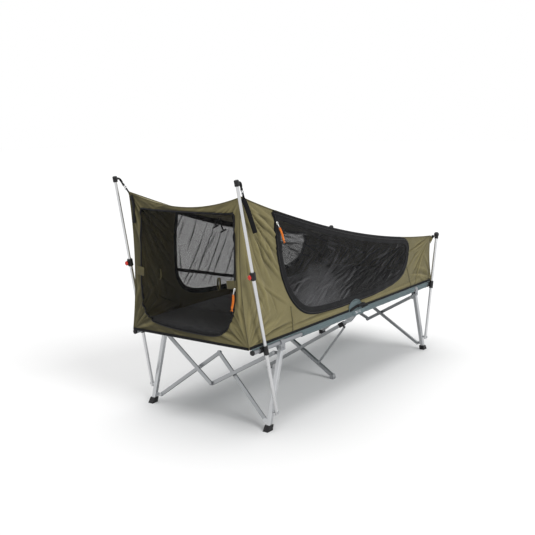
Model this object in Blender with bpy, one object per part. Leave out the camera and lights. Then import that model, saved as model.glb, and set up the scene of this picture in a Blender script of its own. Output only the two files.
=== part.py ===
"""A tent cot: a folding aluminium stretcher frame with telescopic corner uprights and a low tent.

World axes: +X from head to foot, +Z up, near side at -Y, far side at +Y, feet on z = 0.
"""

import math

import bmesh
import bpy
from mathutils import Matrix, Vector

SMOOTH_ANGLE = 35

# Sides and ends are signs: they mirror the named sizes below.
NEAR, FAR = -1, 1
HEAD, FOOT = -1, 1
SIDE_NAMES = {NEAR: "near", FAR: "far"}
END_NAMES = {HEAD: "head", FOOT: "foot"}

# Clearance between pieces that touch, and how far a cutter or a joined piece overruns a face.
GAP = 0.0003
OVERRUN = 0.002

# Side rails, each in two halves that meet in the centre hinge.
RAIL_RADIUS = 0.0125
RAIL_Y = 0.418
RAIL_Z = 0.452
RAIL_REACH = 1.035
CASTING_RADIUS = 0.017
RAIL_SIDES = 16

# Corner legs: square tube that leans outwards to the floor, pinned in a fork under the rail.
LEG_WIDTH = 0.025
LEG_TOP_X = 0.78
LEG_TOP_Z = 0.434
LEG_FOOT_X = 0.915
LEG_START = 0.006
LEG_FLOOR_GAP = 0.006
LEG_CORNER = 0.003
FORK_PLATE = 0.003
FORK_LENGTH = 0.034
FORK_DEPTH = 0.042
FORK_PIN_DROP = 0.028
PIN_RADIUS = 0.004
PIN_SIDES = 12
RIVET_RADIUS = 0.0075
RIVET_HEIGHT = 0.0025
FOOT_CAP_HEIGHT = 0.03
FOOT_CAP_WALL = 0.004
FOOT_CAP_TOE = 0.012

# End linkages: two pairs of bars between the legs, one hanging from the leg tops, one rising from the feet.
LINK_PIN_Y = 0.385
LINK_WIDTH = 0.02
LINK_THICKNESS = 0.01
LINK_SIDES = 5
LUG_THICKNESS = 0.0054
HANGING_PIN_DOWN = 0.045
HANGING_KNUCKLE_DOWN = 0.276
RISING_PIN_DOWN = 0.405
RISING_KNUCKLE_DOWN = 0.098
FOLD_TRAVEL = 0.28

# Middle legs: a scissor pair hung from the centre hinges, with a thin strut to a sliding collar on each.
HUB_PIVOT_Y = 0.375
HUB_PIVOT_Z = 0.4
HUB_LENGTH = 0.06
HUB_ARM_RADIUS = 0.014
MIDDLE_WIDTH = 0.02
MIDDLE_OFFSET_X = 0.013
MIDDLE_FOOT_Y = 0.245
MIDDLE_FOOT_Z = 0.015
COLLAR_WALL = 0.0035
COLLAR_LENGTH = 0.034
COLLAR_DOWN = 0.06
STRUT_WIDTH = 0.012
STRUT_THICKNESS = 0.004
STRUT_PIN_OUT = 0.022
STRUT_FOOT_SHARE = 0.55
STRUT_PIN_RADIUS = 0.003

# Corner uprights: tube pinned to the leg low down, held by a casting on the rail, capped on top.
UPRIGHT_RADIUS = 0.0095
UPRIGHT_WALL = 0.0012
UPPER_RADIUS = 0.008
UPRIGHT_SIDES = 16
UPRIGHT_PIN_X = 0.884
UPRIGHT_PIN_Y = 0.452
UPRIGHT_PIN_Z = 0.1
UPRIGHT_TAIL = 0.016
HEAD_TOP_X = 1.122
HEAD_TOP_Z = 1.334
FOOT_TOP_X = 1.091
FOOT_TOP_Z = 0.791
HEAD_TOP_Y = 0.419
FOOT_TOP_Y = 0.432
SLEEVE_LENGTH = 0.05
SLEEVE_RADIUS = 0.0135
LOCK_Z = 0.849
LOCK_LENGTH = 0.042
LOCK_RADIUS = 0.0155
LOCK_BOSS_WIDTH = 0.018
LOCK_BOSS_REACH = 0.021
LOCK_BOSS_HEIGHT = 0.026
UPPER_OVERLAP = 0.16
TELESCOPE_TRAVEL = 0.42
BUTTON_RADIUS = 0.005
BUTTON_INNER = 0.0145
BUTTON_OUTER = 0.0245
CAP_RADIUS = 0.0125
CAP_HEIGHT = 0.03
CAP_TOP = 0.006
CAP_EAR = 0.011
STRAP_WIDTH = 0.014
STRAP_THICKNESS = 0.003
STRAP_END_OUT = 0.009

# Tent: four walls and a roof, with top edges that sag between the uprights.
TENT_X = 1.05
TENT_BOTTOM_Y = 0.4115
TENT_BOTTOM_Z = 0.472
TENT_HEAD_Z = 1.245
TENT_FOOT_Z = 0.784
WALL_LEAN = 0.029
CLOTH = 0.003
EDGE_SAG = 0.085
HEAD_EDGE_SAG = 0.068
FOOT_EDGE_SAG = 0.02
EDGE_STEPS = 16
ROOF_STEPS_X = 16
ROOF_STEPS_Y = 6

# Side doors: mesh panels that follow the wall's top edge.
DOOR_TOP_DROP = 0.024
DOOR_HEAD_TOP_X = -0.8
DOOR_HEAD_LOW_X = -0.735
DOOR_HEAD_LOW_Z = 0.8
DOOR_BOTTOM_HEAD_X = -0.5
DOOR_BOTTOM_Z = 0.524
DOOR_BOTTOM_FOOT_X = 0.3
DOOR_FOOT_LOW_X = 0.6
DOOR_FOOT_LOW_Z = 0.572
DOOR_FOOT_X = 0.718
DOOR_FOOT_Z = 0.71
DOOR_FOOT_TOP_X = 0.62
DOOR_ARC_STEPS = 5

# Main folds of the walls, pulled from their corners: start, end, half width and height, in the wall's plane.
SIDE_FOLDS = (
    ((-1.04, 1.22), (-0.77, 0.78), 0.034, 0.01),
    ((-1.03, 1.24), (-0.66, 0.62), 0.03, -0.006),
    ((-1.045, 1.2), (-0.93, 0.66), 0.03, 0.0055),
    ((-1.04, 0.48), (-0.72, 0.66), 0.034, 0.008),
    ((-1.04, 0.5), (-0.86, 0.86), 0.03, 0.006),
    ((1.045, 0.775), (0.74, 0.6), 0.024, 0.006),
    ((1.04, 0.48), (0.8, 0.64), 0.024, 0.006),
)
HEAD_FOLDS = (
    ((0.38, 1.23), (0.1, 1.17), 0.022, 0.007),
    ((-0.38, 1.23), (-0.1, 1.17), 0.022, 0.007),
    ((-0.385, 1.21), (-0.34, 0.98), 0.02, 0.006),
    ((0.4, 0.48), (0.26, 0.62), 0.024, 0.008),
    ((-0.4, 0.48), (-0.26, 0.62), 0.024, 0.008),
)
SIDE_FOLD_ROWS = 8
HEAD_FOLD_ROWS = 6
LEAST_TURN = 0.012
CENTRE_RISE_SHARE = 0.45

# Head door: a rounded opening in the head panel.
HEAD_DOOR_HALF = 0.33
HEAD_DOOR_LOW_Z = 0.512
HEAD_DOOR_TOP_Z = 1.163
HEAD_DOOR_LOW_RADIUS = 0.12
HEAD_DOOR_TOP_RADIUS = 0.02

# Zip pulls: tapes that hang from a peg.
PULL_LENGTH = 0.085
PULL_WIDTH = 0.012
PULL_THICKNESS = 0.003
PEG_RADIUS = 0.002
PEG_REACH = 0.009
NEAR_PULL_X = -0.782
NEAR_PULL_Z = 1.09
HEAD_PULL_Y = -0.345
HEAD_PULL_Z = 0.785

# Deck and mattress.
DECK_BOTTOM_Z = RAIL_Z + CASTING_RADIUS + GAP
DECK_TOP_Z = TENT_BOTTOM_Z - GAP
HEM_WALL = 0.003
HEM_SPANS = ((-0.595, -0.04), (0.04, 0.75), (0.81, 0.94))
MATTRESS_X = 1.02
MATTRESS_Y = 0.385
MATTRESS_THICKNESS = 0.062
MATTRESS_CROWN = 0.014
MATTRESS_ROUND = 0.022
MATTRESS_STEPS_X = 16
MATTRESS_STEPS_Y = 8

LEG_RUN = Vector((LEG_FOOT_X - LEG_TOP_X, 0, -LEG_TOP_Z))
LEG_DOWN = LEG_RUN.normalized()
UP = Vector((0, 0, 1))
ALONG = Vector((1, 0, 0))
ACROSS = Vector((0, 1, 0))


def make_material(name, colour, roughness, metallic):
    """A Principled surface with one colour."""
    material = bpy.data.materials.new(name)
    material.use_nodes = True
    surface = material.node_tree.nodes["Principled BSDF"]
    surface.inputs["Base Color"].default_value = (*colour, 1)
    surface.inputs["Roughness"].default_value = roughness
    surface.inputs["Metallic"].default_value = metallic
    return material


FINISHES = {
    "tube": ((0.74, 0.75, 0.76), 0.3, 0.9),
    "casting": ((0.6, 0.61, 0.62), 0.4, 0.8),
    "black_plastic": ((0.02, 0.02, 0.022), 0.5, 0.0),
    "red_plastic": ((0.6, 0.03, 0.02), 0.35, 0.0),
    "orange_tape": ((0.85, 0.2, 0.03), 0.6, 0.0),
    "webbing": ((0.02, 0.02, 0.02), 0.8, 0.0),
    "olive_cloth": ((0.2, 0.18, 0.09), 0.85, 0.0),
    "mesh": ((0.03, 0.03, 0.032), 0.8, 0.0),
    "slate_cloth": ((0.1, 0.13, 0.15), 0.8, 0.0),
    "mattress_cloth": ((0.06, 0.06, 0.065), 0.85, 0.0),
}


def place(name, bm, finish, origin=None):
    """Turn a bmesh in world metres into a named object whose origin lies at the given point."""
    bmesh.ops.recalc_face_normals(bm, faces=bm.faces)
    mesh = bpy.data.meshes.new(name)
    bm.to_mesh(mesh)
    bm.free()
    mesh.shade_smooth()
    mesh.set_sharp_from_angle(angle=math.radians(SMOOTH_ANGLE))
    obj = bpy.data.objects.new(name, mesh)
    bpy.context.scene.collection.objects.link(obj)
    if finish:
        mesh.materials.append(make_material(name, *FINISHES[finish]))
    if origin:
        mesh.transform(Matrix.Translation(-origin))
        obj.location = origin
    return obj




def guide(name, bm):
    """An object that only cuts or joins others."""
    obj = place(name, bm, None)
    obj.hide_render = True
    obj.display_type = "WIRE"
    return obj


def combine(obj, others, operation):
    """Add one Boolean modifier for each of the other objects."""
    for other in others:
        step = obj.modifiers.new(operation.lower(), "BOOLEAN")
        step.operation = operation
        step.solver = "EXACT"
        step.object = other
    return obj


def axes_frame(origin, u, v, w):
    """The matrix that carries local u, v, w coordinates to the world."""
    return Matrix.Translation(origin) @ Matrix((u, v, w)).transposed().to_4x4()


def turned(profile, start, end, sides):
    """Turn a closed profile of (radius, distance from start) about the line from start to end."""
    axis = (end - start).normalized()
    u = axis.orthogonal().normalized()
    frame = axes_frame(start, u, axis.cross(u), axis)
    bm = bmesh.new()
    rings = []
    for radius, along in profile:
        if radius == 0:
            rings.append([bm.verts.new(frame @ Vector((0, 0, along)))])
            continue
        turns = [math.tau * n / sides for n in range(sides)]
        ring = [Vector((radius * math.cos(t), radius * math.sin(t), along)) for t in turns]
        rings.append([bm.verts.new(frame @ point) for point in ring])
    pairs = list(zip(rings, rings[1:] + rings[:1]))
    for first, second in pairs:
        if len(first) == 1 and len(second) == 1:
            continue
        for n in range(sides):
            m = (n + 1) % sides
            corners = [first[n % len(first)], first[m % len(first)]]
            corners += [second[m % len(second)], second[n % len(second)]]
            bm.faces.new(list(dict.fromkeys(corners)))
    return bm


def rod(start, end, radius, sides=PIN_SIDES):
    """A solid round bar."""
    length = (end - start).length
    return turned([(0, 0), (radius, 0), (radius, length), (0, length)], start, end, sides)


def headed_pin(start, neck, end, radius=PIN_RADIUS, head_radius=RIVET_RADIUS, spacer=0):
    """A pin from start with a flat head from neck to end, and a thick stretch of its own at the start."""
    shank, length = (neck - start).length, (end - start).length
    profile = [(0, 0), (radius, 0)]
    if spacer:
        profile = [(0, 0), (head_radius, 0), (head_radius, spacer), (radius, spacer)]
    profile += [(radius, shank), (head_radius, shank), (head_radius, length), (0, length)]
    return turned(profile, start, end, PIN_SIDES)


def pipe(start, end, radius, bore, sides=UPRIGHT_SIDES):
    """An open tube."""
    length = (end - start).length
    return turned([(bore, 0), (radius, 0), (radius, length), (bore, length)], start, end, sides)


def prism(outline, frame, low, high):
    """Extrude a closed outline of local (u, v) points from w = low to w = high."""
    bm = bmesh.new()
    bottom = [bm.verts.new(frame @ Vector((u, v, low))) for u, v in outline]
    top = [bm.verts.new(frame @ Vector((u, v, high))) for u, v in outline]
    bm.faces.new(bottom)
    bm.faces.new(reversed(top))
    for n in range(len(outline)):
        m = (n + 1) % len(outline)
        bm.faces.new((bottom[n], bottom[m], top[m], top[n]))
    return bm


def block(low, high):
    """A box between two corners."""
    low, high = (Vector(map(pick, low, high)) for pick in (min, max))
    outline = [(low.x, low.y), (high.x, low.y), (high.x, high.y), (low.x, high.y)]
    return prism(outline, Matrix.Identity(4), low.z, high.z)


def arc(centre, radius, start_deg, end_deg, steps):
    """Points on a circle, from one angle to another."""
    points = []
    for n in range(steps + 1):
        turn = math.radians(start_deg + (end_deg - start_deg) * n / steps)
        points.append((centre[0] + radius * math.cos(turn), centre[1] + radius * math.sin(turn)))
    return points


def bar_outline(first, second, radius, steps):
    """A bar with round ends about two points."""
    heading = math.degrees(math.atan2(second[1] - first[1], second[0] - first[0]))
    left = arc(first, radius, heading + 90, heading + 270, steps)
    return left + arc(second, radius, heading - 90, heading + 90, steps)


def lattice(rows):
    """A closed sheet from rows of (upper, lower) world points."""
    bm = bmesh.new()
    layers = []
    for layer in range(2):
        layers.append([[bm.verts.new(point[layer]) for point in row] for row in rows])
    last_row, last_column = len(rows) - 1, len(rows[0]) - 1
    for grid in layers:
        for i in range(last_row):
            for j in range(last_column):
                bm.faces.new((grid[i][j], grid[i + 1][j], grid[i + 1][j + 1], grid[i][j + 1]))
    rim = [(i, 0) for i in range(last_row)] + [(last_row, j) for j in range(last_column)]
    rim += [(i, last_column) for i in range(last_row, 0, -1)] + [(0, j) for j in range(last_column, 0, -1)]
    for a, b in zip(rim, rim[1:] + rim[:1]):
        upper, lower = layers
        bm.faces.new((upper[a[0]][a[1]], upper[b[0]][b[1]], lower[b[0]][b[1]], lower[a[0]][a[1]]))
    return bm


def square(half):
    """The corners of a square."""
    return [(-half, -half), (half, -half), (half, half), (-half, half)]


def leg_frame(end):
    """Local (y, distance down the leg, outward) axes of the leaning plane that holds an end's legs."""
    down = Vector((end * LEG_DOWN.x, 0, LEG_DOWN.z))
    outward = Vector((-end * LEG_DOWN.z, 0, LEG_DOWN.x))
    return axes_frame(Vector((end * LEG_TOP_X, 0, LEG_TOP_Z)), ACROSS, down, outward)


def upright_line(side, end):
    """Where an upright is pinned to its leg, its direction, and its length to the top."""
    low = Vector((end * UPRIGHT_PIN_X, side * UPRIGHT_PIN_Y, UPRIGHT_PIN_Z))
    top_x, top_y, top_z = (HEAD_TOP_X, HEAD_TOP_Y, HEAD_TOP_Z)
    if end == FOOT:
        top_x, top_y, top_z = (FOOT_TOP_X, FOOT_TOP_Y, FOOT_TOP_Z)
    top = Vector((end * top_x, side * top_y, top_z))
    return low, (top - low).normalized(), (top - low).length


def at_height(side, end, z):
    """The point of an upright's centre line at a height."""
    low, axis, _ = upright_line(side, end)
    return low + axis * ((z - low.z) / axis.z)


def fork_pin(side, end):
    """The middle of the pin that a leg hangs on, under its rail."""
    z = RAIL_Z - FORK_PIN_DROP
    x = LEG_TOP_X - (LEG_TOP_Z - z) * LEG_DOWN.x / LEG_DOWN.z
    return Vector((end * x, side * RAIL_Y, z))


def make_rail(side, end):
    """Half of a side rail, with the fork that the leg hangs in."""
    name = f"{SIDE_NAMES[side]}_rail_{END_NAMES[end]}"
    centre = Vector((0, side * RAIL_Y, RAIL_Z))
    tube = rod(centre + ALONG * end * GAP, centre + ALONG * end * RAIL_REACH, RAIL_RADIUS, RAIL_SIDES)
    rail = place(name, tube, "tube")
    pin = fork_pin(side, end)
    saddle = pin + UP * FORK_PIN_DROP
    half = ALONG * FORK_LENGTH / 2
    joined = [guide(name + "_saddle", rod(saddle - half, saddle + half, CASTING_RADIUS, RAIL_SIDES))]
    inner = LEG_WIDTH / 2 + GAP
    for hand in (NEAR, FAR):
        near_face = saddle + ACROSS * hand * inner
        low = near_face - half - UP * FORK_DEPTH
        high = near_face + half + ACROSS * hand * FORK_PLATE
        joined.append(guide(f"{name}_plate_{SIDE_NAMES[hand]}", block(low, high)))
    reach = ACROSS * (inner + FORK_PLATE + RIVET_HEIGHT)
    joined.append(guide(name + "_pin", rod(pin - reach, pin + reach, PIN_RADIUS)))
    return combine(rail, joined, "UNION")


def make_centre_hinge(side):
    """The casting that joins the two rail halves and holds a middle leg."""
    name = f"{SIDE_NAMES[side]}_centre_hinge"
    centre = Vector((0, side * RAIL_Y, RAIL_Z))
    half = ALONG * HUB_LENGTH / 2
    hub = place(name, rod(centre - half, centre + half, CASTING_RADIUS, RAIL_SIDES), "casting")
    leg_x = side * MIDDLE_OFFSET_X
    frame = axes_frame(Vector((0, 0, 0)), ACROSS, UP, ALONG)
    arm = bar_outline((side * RAIL_Y, RAIL_Z), (side * HUB_PIVOT_Y, HUB_PIVOT_Z), HUB_ARM_RADIUS, LINK_SIDES)
    clear = MIDDLE_WIDTH / 2 + GAP
    joined = []
    for hand in (-1, 1):
        faces = sorted((leg_x + hand * clear, leg_x + hand * (clear + FORK_PLATE)))
        joined.append(guide(f"{name}_arm_{hand + 1}", prism(arm, frame, *faces)))
    pivot = Vector((leg_x, side * HUB_PIVOT_Y, HUB_PIVOT_Z))
    reach = ALONG * (clear + FORK_PLATE + RIVET_HEIGHT)
    if side == NEAR:
        joined.append(guide(name + "_pin", rod(pivot - reach, pivot + reach, PIN_RADIUS)))
    else:
        # The far pivot stays open for the tree of joints: only its two rivet heads are there.
        for tag, way in (("low", -1), ("high", 1)):
            inner = pivot + ALONG * way * (clear + FORK_PLATE / 2)
            joined.append(guide(f"{name}_rivet_{tag}", rod(inner, pivot + reach * way, RIVET_RADIUS)))
    combine(hub, joined, "UNION")
    reach = half + ALONG * OVERRUN
    bore = guide(name + "_bore", rod(centre - reach, centre + reach, RAIL_RADIUS + GAP, RAIL_SIDES))
    return combine(hub, [bore], "DIFFERENCE")


def lug(name, side, end, down, low, high):
    """An ear on the inner face of a leg, between two outward distances."""
    root = (side * (RAIL_Y - LEG_CORNER / 2), down)
    outline = bar_outline(root, (side * LINK_PIN_Y, down), LINK_WIDTH / 2, LINK_SIDES)
    return guide(name, prism(outline, leg_frame(end), low, high))


def link_layers(side, rising):
    """The outward distances of a linkage bar's two faces."""
    first = LUG_THICKNESS / 2 + GAP
    start = first if side == NEAR else first + LINK_THICKNESS + GAP
    faces = (start, start + LINK_THICKNESS)
    return tuple(sorted(-face for face in faces)) if rising else faces


def make_leg(side, end):
    """A corner leg with the ears and rivets that its linkage bars and its upright are held by."""
    name = f"{SIDE_NAMES[side]}_leg_{END_NAMES[end]}"
    frame = leg_frame(end)
    half = LEG_WIDTH / 2
    flat = half - LEG_CORNER
    length = (LEG_TOP_Z - LEG_FLOOR_GAP - half * LEG_DOWN.x) / -LEG_DOWN.z
    section = [(-flat, -half), (flat, -half), (half, -flat), (half, flat)]
    section += [(flat, half), (-flat, half), (-half, flat), (-half, -flat)]
    matrix = frame @ Matrix.Translation((side * RAIL_Y, 0, 0))
    turned_frame = matrix @ Matrix(((1, 0, 0, 0), (0, 0, 1, 0), (0, 1, 0, 0), (0, 0, 0, 1)))
    leg = place(name, prism(section, turned_frame, LEG_START, length), "tube")
    joined = []
    for rising, down in ((False, HANGING_PIN_DOWN), (True, RISING_PIN_DOWN)):
        tag = f"{name}_{'low' if rising else 'high'}"
        faces = link_layers(side, rising)
        inner = min(faces, key=abs)
        sign = math.copysign(1, inner)
        lug_faces = sorted((inner - sign * GAP, inner - sign * (GAP + LUG_THICKNESS)))
        joined.append(lug(tag + "_lug", side, end, down, *lug_faces))
        if side == NEAR:
            centre = frame @ Vector((side * LINK_PIN_Y, down, 0))
            outer = frame @ Vector((side * LINK_PIN_Y, down, max(faces, key=abs) + sign * GAP))
            head = outer + (outer - centre).normalized() * RIVET_HEIGHT
            joined.append(guide(tag + "_pin", headed_pin(centre, outer, head)))
    low, _, _ = upright_line(side, end)
    reach = UPRIGHT_RADIUS + GAP
    outer = low + ACROSS * side * reach
    head = outer + ACROSS * side * RIVET_HEIGHT
    inside = Vector((low.x, side * RAIL_Y, low.z))
    spacer = UPRIGHT_PIN_Y - reach - RAIL_Y
    joined.append(guide(name + "_upright_pin", headed_pin(inside, outer, head, spacer=spacer)))
    combine(leg, joined, "UNION")
    pin = fork_pin(side, end)
    cross = ACROSS * LEG_WIDTH
    hole = guide(name + "_hole", rod(pin - cross, pin + cross, PIN_RADIUS + GAP))
    return combine(leg, [hole], "DIFFERENCE")


def make_foot_cap(side, end):
    """The black shoe on a leg's foot."""
    name = f"{SIDE_NAMES[side]}_leg_{END_NAMES[end]}_cap"
    half = LEG_WIDTH / 2 + GAP + FOOT_CAP_WALL
    foot_x = end * LEG_FOOT_X
    lean = end * FOOT_CAP_HEIGHT * -LEG_DOWN.x / LEG_DOWN.z
    outline = [(foot_x - end * half, 0), (foot_x + end * (half + FOOT_CAP_TOE), 0)]
    outline += [(foot_x + end * half - lean, FOOT_CAP_HEIGHT), (foot_x - end * half - lean, FOOT_CAP_HEIGHT)]
    frame = axes_frame(Vector((0, 0, 0)), ALONG, UP, ACROSS)
    cap = place(name, prism(outline, frame, side * RAIL_Y - half, side * RAIL_Y + half), "black_plastic")
    inner = LEG_WIDTH / 2 + GAP
    length = (LEG_TOP_Z - LEG_FLOOR_GAP - LEG_WIDTH / 2 * LEG_DOWN.x) / -LEG_DOWN.z
    section = [(side * RAIL_Y - inner, 0), (side * RAIL_Y + inner, 0)]
    section += [(side * RAIL_Y + inner, length + GAP), (side * RAIL_Y - inner, length + GAP)]
    socket = guide(name + "_socket", prism(section, leg_frame(end), -inner, inner))
    return combine(cap, [socket], "DIFFERENCE")


def make_link(side, end, rising):
    """One linkage bar, from a leg's ear to the knuckle on the centre line."""
    kind = "rising" if rising else "hanging"
    name = f"{END_NAMES[end]}_{kind}_bar_{SIDE_NAMES[side]}"
    pin_down = RISING_PIN_DOWN if rising else HANGING_PIN_DOWN
    knuckle_down = RISING_KNUCKLE_DOWN if rising else HANGING_KNUCKLE_DOWN
    frame = leg_frame(end)
    faces = link_layers(side, rising)
    outline = bar_outline((side * LINK_PIN_Y, pin_down), (0, knuckle_down), LINK_WIDTH / 2, LINK_SIDES)
    pivot = (side * LINK_PIN_Y, pin_down) if side == NEAR else (0, knuckle_down)
    origin = frame @ Vector((*pivot, 0))
    bar = place(name, prism(outline, frame, *faces), "tube", origin)
    far_faces = link_layers(FAR, rising)
    sign = -1 if rising else 1
    outer = max(far_faces, key=abs) + sign * GAP
    head = outer + sign * RIVET_HEIGHT
    if side == NEAR:
        middle = sum(faces) / 2
        spot = [frame @ Vector((0, knuckle_down, out)) for out in (middle, outer, head)]
        combine(bar, [guide(name + "_pin", headed_pin(*spot))], "UNION")
    else:
        middle = sum(faces) / 2
        spot = [frame @ Vector((side * LINK_PIN_Y, pin_down, out)) for out in (middle, head)]
        combine(bar, [guide(name + "_rivet", rod(*spot, RIVET_RADIUS))], "UNION")
    reach = LINK_THICKNESS * 2
    ends = [frame @ Vector((*pivot, sum(faces) / 2 + out)) for out in (-reach, reach)]
    return combine(bar, [guide(name + "_hole", rod(*ends, PIN_RADIUS + GAP))], "DIFFERENCE")


def middle_points(side):
    """Pivot, crossing and foot of a middle leg, as (y, z), and its direction down."""
    pivot = Vector((side * HUB_PIVOT_Y, HUB_PIVOT_Z))
    foot = Vector((-side * MIDDLE_FOOT_Y, MIDDLE_FOOT_Z))
    down = (foot - pivot).normalized()
    crossing = pivot + down * (-pivot.x / down.x)
    return pivot, crossing, foot, down


def strut_points(side):
    """The collar's pin and the strut's foot on the other middle leg, as (y, z)."""
    pivot, crossing, _, down = middle_points(side)
    below = Vector((down.y, -down.x)) * -side
    collar = pivot + down * COLLAR_DOWN
    pin = collar + below * STRUT_PIN_OUT
    _, _, other_foot, _ = middle_points(-side)
    foot = crossing + (other_foot - crossing) * STRUT_FOOT_SHARE
    return collar, pin, foot


def make_middle_leg(side):
    """A middle leg: hung from its own side's hinge, standing on the other side."""
    name = f"{SIDE_NAMES[side]}_middle_leg"
    pivot, crossing, foot, down = middle_points(side)
    frame = axes_frame(Vector((side * MIDDLE_OFFSET_X, 0, 0)), ACROSS, UP, ALONG)
    half = MIDDLE_WIDTH / 2
    tip = foot - down * half
    outline = bar_outline(tuple(pivot), tuple(tip), half, LINK_SIDES)
    origin_point = pivot if side == NEAR else crossing
    origin = Vector((0, *origin_point))
    leg = place(name, prism(outline, frame, -half, half), "tube", origin)
    shoe = half + FOOT_CAP_WALL
    shoe_outline = [(tip.x - shoe, 0), (tip.x + shoe, 0), (tip.x + shoe, FOOT_CAP_HEIGHT / 2)]
    shoe_outline += [(tip.x + half, FOOT_CAP_HEIGHT), (tip.x - half, FOOT_CAP_HEIGHT)]
    shoe_outline.append((tip.x - shoe, FOOT_CAP_HEIGHT / 2))
    joined = [guide(name + "_shoe", prism(shoe_outline, frame, -shoe, shoe))]
    if side == NEAR:
        outer = Vector((MIDDLE_OFFSET_X + half + GAP, *crossing))
        start = Vector((-MIDDLE_OFFSET_X, *crossing))
        joined.append(guide(name + "_pin", headed_pin(start, outer, outer + ALONG * RIVET_HEIGHT)))
    combine(leg, joined, "UNION")
    reach = ALONG * MIDDLE_WIDTH
    holes = []
    spots = {"pivot": pivot} if side == NEAR else {"pivot": pivot, "crossing": crossing}
    for tag, spot in spots.items():
        centre = Vector((side * MIDDLE_OFFSET_X, *spot))
        holes.append(guide(f"{name}_{tag}", rod(centre - reach, centre + reach, PIN_RADIUS + GAP)))
    return combine(leg, holes, "DIFFERENCE")


def make_collar(side):
    """The black collar that slides on a middle leg, with the ear for its strut."""
    name = f"{SIDE_NAMES[side]}_collar"
    collar, pin, _ = strut_points(side)
    _, _, _, down = middle_points(side)
    across = Vector((-down.y, down.x))
    middle = Vector((side * MIDDLE_OFFSET_X, *collar))
    frame = axes_frame(middle, ALONG, Vector((0, *across)), Vector((0, *down)))
    bore = MIDDLE_WIDTH / 2 + GAP
    outer = bore + COLLAR_WALL
    half = COLLAR_LENGTH / 2
    body = place(name, prism(square(outer), frame, -half, half), "black_plastic", middle)
    ear_face = side * (STRUT_THICKNESS / 2 + GAP)
    ear_back = ear_face + side * FORK_PLATE
    side_frame = axes_frame(Vector((0, 0, 0)), ACROSS, UP, ALONG)
    ear = bar_outline(tuple(collar + (pin - collar) / 2), tuple(pin), STRUT_WIDTH / 2, LINK_SIDES)
    joined = [guide(name + "_ear", prism(ear, side_frame, *sorted((ear_face, ear_back))))]
    outer_face = Vector((-ear_face, *pin))
    head = Vector((-ear_face - side * RIVET_HEIGHT, *pin))
    start = Vector(((ear_face + ear_back) / 2, *pin))
    ear_pin = headed_pin(start, outer_face, head, STRUT_PIN_RADIUS, STRUT_PIN_RADIUS + OVERRUN)
    joined.append(guide(name + "_pin", ear_pin))
    combine(body, joined, "UNION")
    hole = guide(name + "_bore", prism(square(bore), frame, -half - OVERRUN, half + OVERRUN))
    return combine(body, [hole], "DIFFERENCE")


def make_strut(side):
    """The thin bar from a collar to the foot of the other middle leg."""
    name = f"{SIDE_NAMES[side]}_strut"
    _, pin, foot = strut_points(side)
    frame = axes_frame(Vector((0, 0, 0)), ACROSS, UP, ALONG)
    half = STRUT_THICKNESS / 2
    outline = bar_outline(tuple(pin), tuple(foot), STRUT_WIDTH / 2, LINK_SIDES)
    strut = place(name, prism(outline, frame, -half, half), "tube", Vector((0, *pin)))
    head = Vector((side * (half + RIVET_HEIGHT / 2), *foot))
    rivet = guide(name + "_rivet", rod(Vector((0, *foot)), head, STRUT_PIN_RADIUS + OVERRUN))
    combine(strut, [rivet], "UNION")
    reach = ALONG * STRUT_THICKNESS
    centre = Vector((0, *pin))
    hole = guide(name + "_hole", rod(centre - reach, centre + reach, STRUT_PIN_RADIUS + GAP))
    return combine(strut, [hole], "DIFFERENCE")


def make_sleeve(side, end):
    """The casting that clamps the rail and guides an upright past it."""
    name = f"{SIDE_NAMES[side]}_sleeve_{END_NAMES[end]}"
    _, axis, _ = upright_line(side, end)
    centre = at_height(side, end, RAIL_Z)
    on_rail = Vector((centre.x, side * RAIL_Y, RAIL_Z))
    half = SLEEVE_LENGTH / 2
    saddle = rod(on_rail - ALONG * half, on_rail + ALONG * half, CASTING_RADIUS, RAIL_SIDES)
    sleeve = place(name, saddle, "casting")
    tube = rod(centre - axis * half, centre + axis * half, SLEEVE_RADIUS, UPRIGHT_SIDES)
    guide_tube = guide(name + "_guide", tube)
    combine(sleeve, [guide_tube], "UNION")
    far_out = half + OVERRUN
    bore = rod(on_rail - ALONG * far_out, on_rail + ALONG * far_out, RAIL_RADIUS + GAP, RAIL_SIDES)
    bores = [guide(name + "_rail_bore", bore)]
    bore = rod(centre - axis * far_out, centre + axis * far_out, UPRIGHT_RADIUS + GAP, UPRIGHT_SIDES)
    bores.append(guide(name + "_upright_bore", bore))
    return combine(sleeve, bores, "DIFFERENCE")


def cross_hole(name, side, end):
    """The cutter for the pin that holds an upright's foot."""
    low, _, _ = upright_line(side, end)
    reach = ACROSS * LEG_WIDTH
    return guide(name + "_hole", rod(low - reach, low + reach, PIN_RADIUS + GAP))


def cap_ear(end, top, axis):
    """The root and the tip of a cap's ear, which points inwards along the part, square to the upright."""
    inward = Vector((-end, 0, 0))
    inward = (inward - axis * inward.dot(axis)).normalized()
    level = top - axis * CAP_EAR
    return level + inward * (CAP_RADIUS - OVERRUN), level + inward * (CAP_RADIUS + CAP_EAR)


def make_upright_cap(side, end, top, radius, origin=None):
    """A turned cap with an ear that the tent's strap hooks on."""
    name = f"{SIDE_NAMES[side]}_{END_NAMES[end]}_upright_cap"
    _, axis, _ = upright_line(side, end)
    skirt = top - axis * (CAP_HEIGHT - CAP_TOP)
    inner = radius + GAP
    seat = CAP_HEIGHT - CAP_TOP + GAP
    crown = CAP_HEIGHT - CAP_TOP / 3
    profile = [(inner, 0), (CAP_RADIUS, 0), (CAP_RADIUS, crown), (CAP_RADIUS - CAP_TOP / 3, CAP_HEIGHT)]
    profile += [(0, CAP_HEIGHT), (0, seat), (inner, seat)]
    cap = place(name, turned(profile, skirt, skirt + axis, UPRIGHT_SIDES), "black_plastic", origin)
    root, tip = cap_ear(end, top, axis)
    return combine(cap, [guide(name + "_ear", rod(root, tip, CAP_TOP))], "UNION")


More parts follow.
